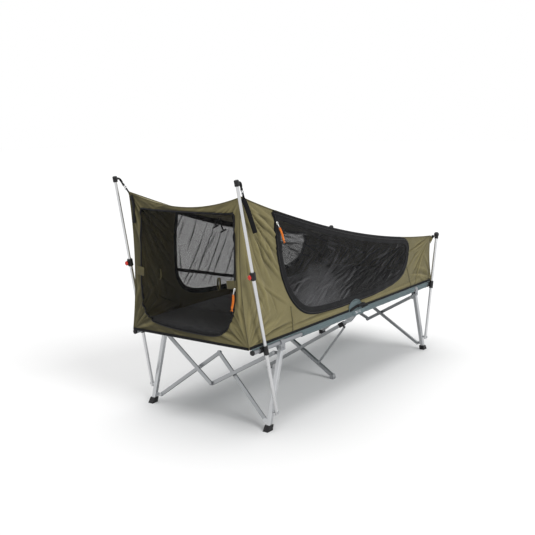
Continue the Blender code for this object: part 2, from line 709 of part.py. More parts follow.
def make_head_upright(side):
    """A telescopic head upright: lower tube, upper tube, lock collar, button, cap and strap."""
    prefix = SIDE_NAMES[side]
    low, axis, length = upright_line(side, HEAD)
    lock = at_height(side, HEAD, LOCK_Z)
    bore = UPRIGHT_RADIUS - UPRIGHT_WALL
    lower = place(f"{prefix}_lower_tube", pipe(low - axis * UPRIGHT_TAIL, lock, UPRIGHT_RADIUS, bore), "tube")
    combine(lower, [cross_hole(f"{prefix}_lower_tube", side, HEAD)], "DIFFERENCE")
    top = low + axis * (length - CAP_TOP)
    origin = lock
    tube = rod(lock - axis * UPPER_OVERLAP, top, UPPER_RADIUS, UPRIGHT_SIDES)
    upper = place(f"{prefix}_upper_tube", tube, "tube", origin)
    make_upright_cap(side, HEAD, top, UPPER_RADIUS, origin)
    half = LOCK_LENGTH / 2
    wide, narrow = UPRIGHT_RADIUS + GAP, UPPER_RADIUS + GAP
    edge = FORK_PLATE
    profile = [(wide, 0), (LOCK_RADIUS - edge, 0), (LOCK_RADIUS, edge), (LOCK_RADIUS, LOCK_LENGTH - edge)]
    profile += [(LOCK_RADIUS - edge, LOCK_LENGTH), (narrow, LOCK_LENGTH)]
    profile += [(narrow, half + GAP), (wide, half + GAP)]
    body = turned(profile, lock - axis * half, lock + axis * half, UPRIGHT_SIDES)
    collar = place(f"{prefix}_lock_collar", body, "black_plastic")
    press = Vector((-axis.z, 0, axis.x)).normalized()
    frame = axes_frame(lock, press, axis, press.cross(axis))
    wide_half, tall_half = LOCK_BOSS_WIDTH / 2, LOCK_BOSS_HEIGHT / 2
    reach = LOCK_BOSS_REACH
    boss_low = UPRIGHT_RADIUS + GAP + OVERRUN
    outline = [(boss_low, -tall_half), (reach - edge, -tall_half), (reach, -tall_half + edge)]
    outline += [(reach, tall_half - edge), (reach - edge, tall_half), (boss_low, tall_half)]
    combine(collar, [guide(f"{prefix}_lock_boss", prism(outline, frame, -wide_half, wide_half))], "UNION")
    pocket = rod(lock + press * UPPER_RADIUS, lock + press * (reach + OVERRUN), BUTTON_RADIUS + GAP)
    combine(collar, [guide(f"{prefix}_lock_pocket", pocket)], "DIFFERENCE")
    inner, outer = lock + press * BUTTON_INNER, lock + press * BUTTON_OUTER
    place(f"{prefix}_lock_button", rod(inner, outer, BUTTON_RADIUS), "red_plastic", inner)
    make_strap(side, top, axis, origin)


def make_strap(side, top, axis, origin):
    """The webbing and hook between a head cap's ear and the tent's peak."""
    root, tip = cap_ear(HEAD, top, axis)
    peak_y = wall_y(TENT_HEAD_Z) + STRAP_END_OUT
    end = Vector((-TENT_X + STRAP_END_OUT, side * peak_y, TENT_HEAD_Z - STRAP_WIDTH))
    half = STRAP_WIDTH / 2
    outward = (tip - root).normalized()
    start = tip + outward * (GAP + half * outward.cross((end - tip).normalized()).length)
    run = (end - start).normalized()
    flat = run.cross(ACROSS).normalized()
    frame = axes_frame(start, run, flat, run.cross(flat))
    length = (end - start).length
    edge = STRAP_THICKNESS / 2
    outline = [(0, -half), (length - half, -half), (length, 0), (length - half, half), (0, half)]
    place(f"{SIDE_NAMES[side]}_head_strap", prism(outline, frame, -edge, edge), "webbing", origin)


def make_foot_upright(side):
    """A plain foot upright and its cap."""
    name = f"{SIDE_NAMES[side]}_foot_upright"
    low, axis, length = upright_line(side, FOOT)
    top = low + axis * (length - CAP_TOP)
    tube = place(name, rod(low - axis * UPRIGHT_TAIL, top, UPRIGHT_RADIUS, UPRIGHT_SIDES), "tube")
    combine(tube, [cross_hole(name, side, FOOT)], "DIFFERENCE")
    make_upright_cap(side, FOOT, top, UPRIGHT_RADIUS)


def edge_z(x):
    """Height of a side wall's top edge."""
    share = (x + TENT_X) / (2 * TENT_X)
    return TENT_HEAD_Z + (TENT_FOOT_Z - TENT_HEAD_Z) * share - 4 * EDGE_SAG * share * (1 - share)


def wall_y(z):
    """Distance of a side wall's middle from the centre line."""
    return TENT_BOTTOM_Y - WALL_LEAN * (z - TENT_BOTTOM_Z)


def lean(bm, side):
    """Move a wall built upright at y = 0 out to its side, leaning in as it rises."""
    for vert in bm.verts:
        vert.co.y += side * wall_y(vert.co.z)
    return bm


def curve_points(points, steps):
    """Points on a smooth curve through the given ones, ends included."""
    spread = [points[0], *points, points[-1]]
    found = []
    for n in range(len(points) - 1):
        a, b, c, d = (Vector(p) for p in spread[n : n + 4])
        for step in range(steps):
            t = step / steps
            bend, turn = 2 * a - 5 * b + 4 * c - d, 3 * b - a - 3 * c + d
            found.append(tuple((2 * b + (c - a) * t + bend * t * t + turn * t**3) / 2))
    return found + [tuple(points[-1])]


def side_door_outline(grow):
    """The side door's outline as (x, z), grown outwards by a clearance."""
    low = curve_points(
        [
            (DOOR_HEAD_TOP_X - grow, edge_z(DOOR_HEAD_TOP_X) - DOOR_TOP_DROP + grow),
            (DOOR_HEAD_LOW_X - grow, DOOR_HEAD_LOW_Z),
            (DOOR_BOTTOM_HEAD_X, DOOR_BOTTOM_Z + DOOR_TOP_DROP - grow),
            ((DOOR_BOTTOM_HEAD_X + DOOR_BOTTOM_FOOT_X) / 2, DOOR_BOTTOM_Z - grow),
            (DOOR_BOTTOM_FOOT_X, DOOR_BOTTOM_Z + CLOTH - grow),
            (DOOR_FOOT_LOW_X, DOOR_FOOT_LOW_Z - grow),
            (DOOR_FOOT_X + grow, DOOR_FOOT_Z),
            (DOOR_FOOT_TOP_X, edge_z(DOOR_FOOT_TOP_X) - DOOR_TOP_DROP / 2 + grow),
        ],
        DOOR_ARC_STEPS,
    )
    top = []
    for n in range(1, EDGE_STEPS):
        x = DOOR_FOOT_TOP_X + (DOOR_HEAD_TOP_X - DOOR_FOOT_TOP_X) * n / EDGE_STEPS
        drop = DOOR_TOP_DROP * (1 + n / EDGE_STEPS) / 2
        top.append((x, edge_z(x) - drop + grow))
    return low + top


XZ_FRAME = axes_frame(Vector((0, 0, 0)), ALONG, UP, ACROSS)
YZ_FRAME = axes_frame(Vector((0, 0, 0)), ACROSS, UP, ALONG)


def fold_height(spot, folds):
    """How far cloth stands out of its plane at a 2-D spot."""
    total = 0
    for start, end, width, height in folds:
        run = Vector(end) - Vector(start)
        share = (spot - Vector(start)).dot(run) / run.length_squared
        if 0 < share < 1:
            off = (spot - Vector(start) - run * share).length
            total += height * math.sin(math.pi * share) * math.exp(-((off / width) ** 2))
    return total


def ray_hit(outline, centre, angle):
    """Where a ray from the centre first crosses a closed outline."""
    way = Vector((math.cos(angle), math.sin(angle)))
    best = None
    for a, b in zip(outline, outline[1:] + outline[:1]):
        run, off = Vector(b) - Vector(a), Vector(a) - centre
        cross = way.cross(run)
        if cross == 0:
            continue
        reach, share = off.cross(run) / cross, off.cross(way) / cross
        if reach > 0 and round(share, 6) >= 0 and round(share, 6) <= 1:
            best = reach if best is None else min(best, reach)
    return centre + way * best


def ring_angles(inner, outer, corners, centre):
    """Directions from the centre: all inner points and corners, and the outer points clear of them."""
    angles = [math.atan2(p[1] - centre.y, p[0] - centre.x) for p in inner + corners]
    for p in outer:
        angle = math.atan2(p[1] - centre.y, p[0] - centre.x)
        if min(abs(angle - other) for other in angles) > LEAST_TURN:
            angles.append(angle)
    return sorted(angles)


def folded_sheet(inner, outer, corners, frame, rows, folds, out):
    """Cloth from an opening to its outer edge, folded between the two."""
    low, high = min(p[1] for p in inner), max(p[1] for p in inner)
    left, right = min(p[0] for p in inner), max(p[0] for p in inner)
    centre = Vector(((left + right) / 2, low + (high - low) * CENTRE_RISE_SHARE))
    bm = bmesh.new()
    rings = []
    for angle in ring_angles(inner, outer, corners, centre):
        near, far = ray_hit(inner, centre, angle), ray_hit(outer, centre, angle)
        ring = []
        for row in range(rows + 1):
            share = row / rows
            spot = near.lerp(far, share)
            height = out * fold_height(spot, folds) * math.sin(math.pi * share)
            for face in (height - CLOTH / 2, height + CLOTH / 2):
                ring.append(bm.verts.new(frame @ Vector((spot.x, spot.y, face))))
        rings.append(ring)
    for ring, after in zip(rings, rings[1:] + rings[:1]):
        for row in range(rows):
            for face in (0, 1):
                a, b = 2 * row + face, 2 * row + 2 + face
                bm.faces.new((ring[a], ring[b], after[b], after[a]))
        for edge in (0, 2 * rows):
            bm.faces.new((ring[edge], ring[edge + 1], after[edge + 1], after[edge]))
    return bm


def make_side_wall(side):
    """A side wall with its door opening, and the mesh door that fills it."""
    prefix = SIDE_NAMES[side]
    reach = TENT_X - CLOTH / 2 - GAP
    outline = [(-reach, TENT_BOTTOM_Z), (reach, TENT_BOTTOM_Z)]
    for n in range(EDGE_STEPS + 1):
        x = reach - 2 * reach * n / EDGE_STEPS
        outline.append((x, edge_z(x)))
    corners = outline[:3] + outline[-1:]
    half = CLOTH / 2
    opening = side_door_outline(GAP)
    wall = folded_sheet(opening, outline, corners, XZ_FRAME, SIDE_FOLD_ROWS, SIDE_FOLDS, side)
    place(f"{prefix}_wall", lean(wall, side), "olive_cloth")
    door = place(f"{prefix}_door", lean(prism(side_door_outline(0), XZ_FRAME, -half, half), side), "mesh")
    if side == NEAR:
        spot = Vector((NEAR_PULL_X, side * wall_y(NEAR_PULL_Z), NEAR_PULL_Z))
        out = ACROSS * side
        peg = guide("near_door_peg", rod(spot, spot + out * (half + PEG_REACH), PEG_RADIUS))
        combine(door, [peg], "UNION")
        make_pull("near_door_pull", spot + out * (half + PEG_REACH / 2), ALONG, out)


def make_end_panel(end):
    """The head or foot panel between the side walls."""
    name = f"{END_NAMES[end]}_panel"
    top_z, sag = (TENT_HEAD_Z, HEAD_EDGE_SAG) if end == HEAD else (TENT_FOOT_Z, FOOT_EDGE_SAG)
    bottom, top = wall_y(TENT_BOTTOM_Z) + CLOTH / 2, wall_y(top_z) + CLOTH / 2
    outline = [(-bottom, TENT_BOTTOM_Z), (bottom, TENT_BOTTOM_Z)]
    for n in range(EDGE_STEPS + 1):
        share = n / EDGE_STEPS
        outline.append((top - 2 * top * share, top_z - 4 * sag * share * (1 - share)))
    half = CLOTH / 2
    middle = end * TENT_X
    if end == FOOT:
        place(name, prism(outline, YZ_FRAME, middle - half, middle + half), "olive_cloth")
        return
    corners = outline[:3] + outline[-1:]
    frame = Matrix.Translation(ALONG * middle) @ YZ_FRAME
    panel = folded_sheet(head_door_outline(GAP), outline, corners, frame, HEAD_FOLD_ROWS, HEAD_FOLDS, end)
    panel = place(name, panel, "olive_cloth")
    place("head_door", prism(head_door_outline(0), YZ_FRAME, middle - half, middle + half), "mesh")
    spot = Vector((middle, HEAD_PULL_Y, HEAD_PULL_Z))
    out = ALONG * end
    combine(panel, [guide("head_door_peg", rod(spot, spot + out * (half + PEG_REACH), PEG_RADIUS))], "UNION")
    make_pull("head_door_pull", spot + out * (half + PEG_REACH / 2), ACROSS, out)


def head_door_outline(grow):
    """The head door's outline as (y, z), grown outwards by a clearance."""
    half, low, high = HEAD_DOOR_HALF, HEAD_DOOR_LOW_Z, HEAD_DOOR_TOP_Z
    big, small = HEAD_DOOR_LOW_RADIUS, HEAD_DOOR_TOP_RADIUS
    steps = DOOR_ARC_STEPS
    outline = arc((-half + big, low + big), big + grow, 180, 270, steps)
    outline += arc((half - big, low + big), big + grow, 270, 360, steps)
    outline += arc((half - small, high - small), small + grow, 0, 90, steps)
    return outline + arc((-half + small, high - small), small + grow, 90, 180, steps)


def make_pull(name, spot, sideways, out):
    """A zip pull tape that hangs from a peg and swings on it."""
    frame = axes_frame(spot, sideways, UP, out)
    half = PULL_WIDTH / 2
    outline = bar_outline((0, 0), (0, -(PULL_LENGTH - PULL_WIDTH)), half, LINK_SIDES)
    edge = PULL_THICKNESS / 2
    pull = place(name, prism(outline, frame, -edge, edge), "orange_tape", spot)
    bore = rod(spot - out * PULL_THICKNESS, spot + out * PULL_THICKNESS, PEG_RADIUS + GAP)
    hole = guide(name + "_hole", bore)
    combine(pull, [hole], "DIFFERENCE")


def make_roof():
    """The roof: a saddle that follows all four top edges."""
    reach = TENT_X - CLOTH / 2 - GAP
    rows = []
    for i in range(ROOF_STEPS_X + 1):
        share = i / ROOF_STEPS_X
        x = -reach + 2 * reach * share
        top = edge_z(x)
        sag = HEAD_EDGE_SAG + (FOOT_EDGE_SAG - HEAD_EDGE_SAG) * share
        half = wall_y(top) - CLOTH / 2 - GAP
        row = []
        for j in range(ROOF_STEPS_Y + 1):
            across = 2 * j / ROOF_STEPS_Y - 1
            z = top - sag * (1 - across * across)
            row.append((Vector((x, across * half, z)), Vector((x, across * half, z - CLOTH))))
        rows.append(row)
    place("roof", lattice(rows), "olive_cloth")


def make_deck():
    """The bed sheet of the cot, with hems round the rails."""
    reach_x, reach_y = TENT_X + CLOTH / 2, TENT_BOTTOM_Y + CLOTH / 2
    sheet = block((-reach_x, -reach_y, DECK_BOTTOM_Z), (reach_x, reach_y, DECK_TOP_Z))
    deck = place("deck", sheet, "slate_cloth")
    joined, bores = [], []
    for side in (NEAR, FAR):
        centre = Vector((0, side * RAIL_Y, RAIL_Z))
        for number, (start, end) in enumerate(HEM_SPANS):
            name = f"{SIDE_NAMES[side]}_hem_{number}"
            outer = RAIL_RADIUS + GAP + HEM_WALL
            hem = rod(centre + ALONG * start, centre + ALONG * end, outer, RAIL_SIDES)
            joined.append(guide(name, hem))
            low = (start, side * (RAIL_Y - RAIL_RADIUS), RAIL_Z + RAIL_RADIUS / 2)
            high = (end, side * (TENT_BOTTOM_Y + GAP), (DECK_BOTTOM_Z + DECK_TOP_Z) / 2)
            joined.append(guide(name + "_web", block(low, high)))
        reach = ALONG * (reach_x + OVERRUN)
        bore = rod(centre - reach, centre + reach, RAIL_RADIUS + GAP, RAIL_SIDES)
        bores.append(guide(f"{SIDE_NAMES[side]}_hem_bore", bore))
    combine(deck, joined, "UNION")
    combine(deck, bores, "DIFFERENCE")


def make_mattress():
    """A thin mattress with a crown and soft edges."""
    rows = []
    for i in range(MATTRESS_STEPS_X + 1):
        u = 2 * i / MATTRESS_STEPS_X - 1
        row = []
        for j in range(MATTRESS_STEPS_Y + 1):
            v = 2 * j / MATTRESS_STEPS_Y - 1
            edge_share = max(abs(u) ** MATTRESS_STEPS_X, abs(v) ** MATTRESS_STEPS_Y)
            crown = MATTRESS_CROWN * (1 - u * u) * (1 - v * v)
            top = MATTRESS_THICKNESS - MATTRESS_CROWN - MATTRESS_ROUND * edge_share + crown
            x, y = u * MATTRESS_X, v * MATTRESS_Y
            row.append((Vector((x, y, TENT_BOTTOM_Z + top)), Vector((x, y, TENT_BOTTOM_Z))))
        rows.append(row)
    place("mattress", lattice(rows), "mattress_cloth")


def centre_on_origin():
    """Slide everything along X so that the origin lies under the middle of the part."""
    depsgraph = bpy.context.evaluated_depsgraph_get()
    shown = [obj for obj in bpy.data.objects if not obj.hide_render]
    reach = []
    for obj in shown:
        mesh = obj.evaluated_get(depsgraph).to_mesh()
        reach += [(obj.matrix_world @ vert.co).x for vert in mesh.vertices]
    shift = -(min(reach) + max(reach)) / 2
    for obj in bpy.data.objects:
        obj.location.x += shift
    return shift


def build():
    """Make every piece."""
    for obj in list(bpy.data.objects):
        bpy.data.objects.remove(obj)
    for side in (NEAR, FAR):
        for end in (HEAD, FOOT):
            make_rail(side, end)
            make_leg(side, end)
            make_foot_cap(side, end)
            make_sleeve(side, end)
            make_link(side, end, False)
            make_link(side, end, True)
        make_centre_hinge(side)
        make_middle_leg(side)
        make_collar(side)
        make_strut(side)
        make_head_upright(side)
        make_foot_upright(side)
        make_side_wall(side)
    for end in (HEAD, FOOT):
        make_end_panel(end)
    make_roof()
    make_deck()
    make_mattress()
    bpy.context.view_layer.update()
    return centre_on_origin()


print("Shift along X to the middle:", round(build(), 5))
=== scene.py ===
"""The looks of a tent cot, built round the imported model."""

import random
from functools import partial
from math import cos, exp, hypot, pi, radians, sin, sqrt

import bmesh
import bpy
import numpy as np
from mathutils import Matrix, Vector
from mathutils.geometry import delaunay_2d_cdt


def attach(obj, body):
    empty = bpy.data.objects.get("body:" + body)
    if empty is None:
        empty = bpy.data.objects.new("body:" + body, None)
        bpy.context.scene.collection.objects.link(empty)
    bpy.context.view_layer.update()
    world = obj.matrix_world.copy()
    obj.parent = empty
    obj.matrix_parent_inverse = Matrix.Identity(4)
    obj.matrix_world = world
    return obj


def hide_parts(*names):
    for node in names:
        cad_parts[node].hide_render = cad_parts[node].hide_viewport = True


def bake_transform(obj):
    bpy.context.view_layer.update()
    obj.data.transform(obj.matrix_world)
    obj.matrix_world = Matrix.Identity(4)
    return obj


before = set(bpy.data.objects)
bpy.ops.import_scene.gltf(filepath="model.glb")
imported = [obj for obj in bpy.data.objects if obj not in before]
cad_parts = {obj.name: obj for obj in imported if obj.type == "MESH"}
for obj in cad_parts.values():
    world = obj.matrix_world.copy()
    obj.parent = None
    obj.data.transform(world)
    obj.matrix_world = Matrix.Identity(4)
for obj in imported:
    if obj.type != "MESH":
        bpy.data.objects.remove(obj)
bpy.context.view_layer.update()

# The source slides the finished part by this much along X. Every place below is written before that slide.
SHIFT = 0.015748
X, Y, Z = (1, 0, 0), (0, 1, 0), (0, 0, 1)
TURN = 2 * pi
NEAR, FAR = -1, 1
HEAD, FOOT = -1, 1
SIDE_NAMES = {NEAR: "near", FAR: "far"}
END_NAMES = {HEAD: "head", FOOT: "foot"}
BODIES = {side: f"{name}_side" for side, name in SIDE_NAMES.items()}

# Sizes from the source, in metres.
RAIL_Y, RAIL_Z, RAIL_RADIUS = 0.418, 0.452, 0.0125
TENT_X = 1.05
TENT_BOTTOM_Y = 0.4115
TENT_BOTTOM_Z = 0.472
TENT_HEAD_Z = 1.245
TENT_FOOT_Z = 0.784
WALL_LEAN = 0.029
EDGE_SAG, HEAD_EDGE_SAG, FOOT_EDGE_SAG, ROOF_SAG = 0.075, 0.068, 0.045, 0.012
DECK_BOTTOM_Z, DECK_TOP_Z = 0.4693, 0.4717
HEM_SPANS = ((-0.595, -0.04), (0.04, 0.75), (0.81, 0.94))


# Camera, light and floor

CAMERA_PLACE = (-4.228, -2.907, 1.623)
CAMERA_YAW, CAMERA_PITCH, CAMERA_ROLL = 0.6402, 0.1787, -0.0252
CAMERA_LENS, CAMERA_SENSOR = 55.65, 36
FLOOR_REACH, FLOOR_GREY, FLOOR_GLOW = 40, (0.78, 0.78, 0.78, 1), 0.04
SKY_LIGHT = 0.42
WHITE = (1, 1, 1, 1)


def linked(name, data):
    """A new object in the scene."""
    made = bpy.data.objects.new(name, data)
    bpy.context.collection.objects.link(made)
    return made


def make_camera():
    level = cos(CAMERA_PITCH)
    ahead = Vector((cos(CAMERA_YAW) * level, sin(CAMERA_YAW) * level, -sin(CAMERA_PITCH)))
    right = ahead.cross(Vector((0, 0, 1))).normalized()
    above = right.cross(ahead)
    turn_cos, turn_sin = cos(CAMERA_ROLL), sin(CAMERA_ROLL)
    data = bpy.data.cameras.new("camera")
    data.lens, data.sensor_width = CAMERA_LENS, CAMERA_SENSOR
    axes = (right * turn_cos + above * turn_sin, above * turn_cos - right * turn_sin, -ahead)
    camera = linked("camera", data)
    place = Matrix.Translation(Vector(CAMERA_PLACE) + Vector((SHIFT, 0, 0)))
    camera.matrix_world = place @ Matrix(axes).transposed().to_4x4()
    bpy.context.scene.camera = camera


def sun(name, towards, angle, strength):
    """A broad, soft lamp far away, so that the whole floor is lit alike."""
    data = bpy.data.lights.new(name, "SUN")
    data.angle, data.energy = radians(angle), strength
    light = linked(name, data)
    light.rotation_mode = "QUATERNION"
    light.rotation_quaternion = Vector(towards).to_track_quat("-Z", "Y")


def feed(tree, node, inputs):
    """Give each input, by name or number, its value or the socket that it is linked from."""
    for key, value in inputs.items():
        if isinstance(value, bpy.types.NodeSocket):
            tree.links.new(value, node.inputs[key])
        else:
            node.inputs[key].default_value = value


def add_node(tree, kind, inputs, operation=None):
    made = tree.nodes.new("ShaderNode" + kind)
    if operation:
        made.operation = operation
    feed(tree, made, inputs)
    return made.outputs


def empty_tree(holder):
    holder.use_nodes = True
    holder.node_tree.nodes.clear()
    return holder.node_tree


def make_world():
    """Soft light from all sides; the camera, metal and glass see it white."""
    bpy.context.scene.world = bpy.data.worlds.new("world")
    tree = empty_tree(bpy.context.scene.world)
    ray = add_node(tree, "LightPath", {})
    seen = add_node(tree, "Math", {0: ray["Is Camera Ray"], 1: ray["Is Glossy Ray"]}, "MAXIMUM")[0]
    seen = add_node(tree, "Math", {0: seen, 1: ray["Is Transmission Ray"]}, "MAXIMUM")[0]
    lamp = add_node(tree, "Background", {"Color": WHITE, "Strength": SKY_LIGHT})[0]
    white = add_node(tree, "Background", {"Color": WHITE, "Strength": 1})[0]
    add_node(tree, "OutputWorld", {"Surface": add_node(tree, "MixShader", {0: seen, 1: lamp, 2: white})[0]})


def make_floor():
    """A pale floor that keeps its shadow and glows a little for the camera alone."""
    mesh = bpy.data.meshes.new("floor")
    corners = ((-1, -1), (1, -1), (1, 1), (-1, 1))
    mesh.from_pydata([(x * FLOOR_REACH, y * FLOOR_REACH, 0) for x, y in corners], [], [(0, 1, 2, 3)])
    material = bpy.data.materials.new("floor")
    tree = empty_tree(material)
    ray = add_node(tree, "LightPath", {})
    level = add_node(tree, "Math", {0: ray["Is Camera Ray"], 1: FLOOR_GLOW}, "MULTIPLY")[0]
    glow = add_node(tree, "Emission", {"Color": WHITE, "Strength": level})[0]
    both = {0: add_node(tree, "BsdfDiffuse", {"Color": FLOOR_GREY})[0], 1: glow}
    add_node(tree, "OutputMaterial", {"Surface": add_node(tree, "AddShader", both)[0]})
    mesh.materials.append(material)
    linked("floor", mesh)


make_camera()
make_world()
make_floor()
sun("key", (0.16, 0.86, -0.62), 28, 1.55)
sun("top", (-0.04, -0.12, -1), 52, 1.95)
bpy.context.scene.view_settings.view_transform = "Standard"


# Materials


def scaled(colour, factor):
    return [min(1, c * factor) for c in colour]


class Shader:
    """Builds one procedural material, node by node."""

    def __init__(self, name, colour, roughness, metallic=0.0):
        self.material = bpy.data.materials.new(name)
        self.material.use_nodes = True
        self.tree = self.material.node_tree
        self.main = self.tree.nodes["Principled BSDF"]
        self.set(Base_Color=(*colour, 1), Roughness=roughness, Metallic=metallic)
        self.place = add_node(self.tree, "TexCoord", {})["Object"]
        self.height = None

    def set(self, **inputs):
        feed(self.tree, self.main, {name.replace("_", " "): value for name, value in inputs.items()})

    def add(self, kind, inputs, operation=None):
        return add_node(self.tree, kind, inputs, operation)[0]

    def noise(self, scale, detail=3.0, roughness=0.5):
        """A noise value from 0 to 1; scale holds the cycles in a metre, for all axes or for each."""
        scale = scale if isinstance(scale, (list, tuple)) else (scale,) * 3
        spot = self.add("Mapping", {"Vector": self.place, "Scale": scale})
        return self.add("TexNoise", {"Vector": spot, "Scale": 1, "Detail": detail, "Roughness": roughness})

    def fold(self):
        """The fold height that each vertex keeps, which paints shade and light into the colour."""
        made = self.tree.nodes.new("ShaderNodeAttribute")
        made.attribute_name = "fold"
        return made.outputs["Fac"]

    def math(self, operation, a, b=0.0, c=0.0):
        return self.add("Math", {0: a, 1: b, 2: c}, operation)

    def wave(self, direction, pitch):
        """A sine from 0 to 1 along a direction, with the given pitch in metres."""
        rate = [TURN * d / pitch for d in direction]
        dot = add_node(self.tree, "VectorMath", {0: self.place, 1: rate}, "DOT_PRODUCT")["Value"]
        return self.math("MULTIPLY_ADD", self.math("SINE", dot), 0.5, 0.5)

    def tint(self, value, dark, light, low, high):
        """Base colour from dark to light as the value runs from low to high."""
        share = self.add("MapRange", {"Value": value, "From Min": low, "From Max": high})
        mix = self.tree.nodes.new("ShaderNodeMix")
        mix.data_type = "RGBA"
        feed(self.tree, mix, {0: share, 6: (*dark, 1), 7: (*light, 1)})
        self.set(Base_Color=mix.outputs[2])

    def rough(self, value, low, high):
        self.set(Roughness=self.add("MapRange", {"Value": value, "To Min": low, "To Max": high}))

    def bump(self, value, distance, strength):
        """Bump from a value; a second call adds to the first."""
        inputs = {"Distance": distance, "Strength": strength, "Height": value}
        if self.height is not None:
            inputs["Normal"] = self.height
        self.height = self.add("Bump", inputs)
        self.set(Normal=self.height)


def metal(name, colour, roughness, along, streak=0.06):
    """Satin metal with fine drawing marks along one direction and faint handling marks."""
    s = Shader(name, colour, roughness, 1.0)
    marks = s.noise([900 * (1 - abs(a)) + 14 * abs(a) for a in along], 4)
    both = s.math("MULTIPLY_ADD", s.noise(9), 0.5, s.math("MULTIPLY", marks, 0.5))
    s.tint(both, scaled(colour, 1 - streak), scaled(colour, 1 + streak), 0.3, 0.7)
    s.rough(both, roughness - 0.1, roughness + 0.12)
    s.bump(marks, 0.00006, 0.5)
    return s.material


def cast_metal(name, colour, roughness):
    """Tumbled casting: fine grain, soft mottling and darker low spots."""
    s = Shader(name, colour, roughness, 0.85)
    grain, cloud = s.noise(1400, 2), s.noise(38, 4)
    s.tint(cloud, scaled(colour, 0.78), colour, 0.35, 0.65)
    s.rough(grain, roughness - 0.08, roughness + 0.12)
    s.bump(grain, 0.00012, 0.7)
    s.bump(cloud, 0.0004, 0.3)
    return s.material


def plastic(name, colour, roughness, wear):
    """Moulded plastic: fine spark texture, faint scuffs that pale the colour."""
    s = Shader(name, colour, roughness)
    s.set(Specular_IOR_Level=0.3)
    grain, scuff = s.noise(2100, 1), s.noise((70, 70, 160), 5, 0.7)
    s.tint(scuff, colour, [c + (0.16 - c * 0.2) * wear for c in colour], 0.5, 0.85)
    s.rough(scuff, roughness - 0.08, roughness + 0.15)
    s.bump(grain, 0.00008, 0.6)
    return s.material


def canvas(name, colour, pair, pitch=0.0011, sheen=0.12, folds=0.0):
    """Woven polyester-cotton: threads both ways, slubs, faint cloudiness, and painted shade and light along
    its creases.
    """
    s = Shader(name, colour, 0.82)
    s.set(Sheen_Weight=sheen, Sheen_Roughness=0.45, Specular_IOR_Level=0.25)
    one, two = pair
    warp, weft = s.wave(one, pitch), s.wave(two, pitch)
    over = s.wave([(a + b) / 2 for a, b in zip(one, two)], pitch)
    under = s.math("MULTIPLY", weft, s.math("SUBTRACT", 1.0, over))
    thread = s.math("ADD", s.math("MULTIPLY", warp, over), under)
    slub = s.noise([30 + 1200 * abs(a) for a in one], 2)
    cloud, crumple = s.noise(7, 5, 0.6), s.noise(60, 4, 0.55)
    mixed = s.math("MULTIPLY_ADD", slub, 0.3, s.math("MULTIPLY", cloud, 0.48))
    mixed = s.math("MULTIPLY_ADD", thread, 0.22, mixed)
    # Painted shade in the creases' hollows and painted light on their ridges, from each vertex's fold height.
    if folds:
        mixed = s.math("ADD", mixed, s.math("MULTIPLY", s.math("SUBTRACT", s.fold(), 0.5), folds))
    # The dark end reaches far down so that the painted shade can go deep.
    s.tint(mixed, scaled(colour, 0.31), scaled(colour, 1.33), -0.2, 0.86)
    s.rough(thread, 0.74, 0.9)
    s.bump(thread, 0.0002, 0.55)
    s.bump(crumple, 0.0016, 0.35)
    return s.material


def netting(name, colour, pair, opaque, hollow=0.28, pitch=0.0016):
    """Fine insect mesh: see-through between its threads, and less so in folds below the hollow mark; its
    colour carries painted shade and highlights.
    """
    s = Shader(name, colour, 0.6)
    s.set(Specular_IOR_Level=0.12, Sheen_Weight=0.02, Sheen_Roughness=0.35)
    line = s.math("MAXIMUM", *(s.wave(way, pitch) for way in pair))
    # Painted shade and highlights: the colour runs from dark in the folds' hollows to pale on their ridges,
    # with some random tone.
    cloud = s.math("MULTIPLY_ADD", s.noise(12), 0.3, s.math("MULTIPLY", s.fold(), 0.7))
    s.tint(cloud, scaled(colour, 0.5), scaled(colour, 11), 0.42, 0.9)
    span = {"From Min": 0.45, "From Max": 0.95, "To Min": opaque - 0.2, "To Max": opaque + 0.14}
    deep = s.math("MAXIMUM", s.math("SUBTRACT", hollow, s.fold()), 0.0)
    double = s.math("MULTIPLY", deep, 0.36 / hollow)
    s.set(Alpha=s.math("ADD", s.add("MapRange", {"Value": line, **span}), double))
    s.bump(line, 0.0003, 0.5)
    return s.material


def webbing(name, colour, across, along, pitch=0.0022):
    """Woven tape: ribs along it, herringbone across, a slight shine."""
    s = Shader(name, colour, 0.7)
    s.set(Sheen_Weight=0.03, Sheen_Roughness=0.4, Specular_IOR_Level=0.12)
    step = s.wave([a + 0.6 * b for a, b in zip(along, across)], pitch * 0.8)
    weave = s.math("MULTIPLY", s.wave(across, pitch), step)
    s.tint(weave, scaled(colour, 0.6), scaled(colour, 1.35), 0.1, 0.9)
    s.rough(weave, 0.5, 0.72)
    s.bump(weave, 0.0003, 0.8)
    return s.material


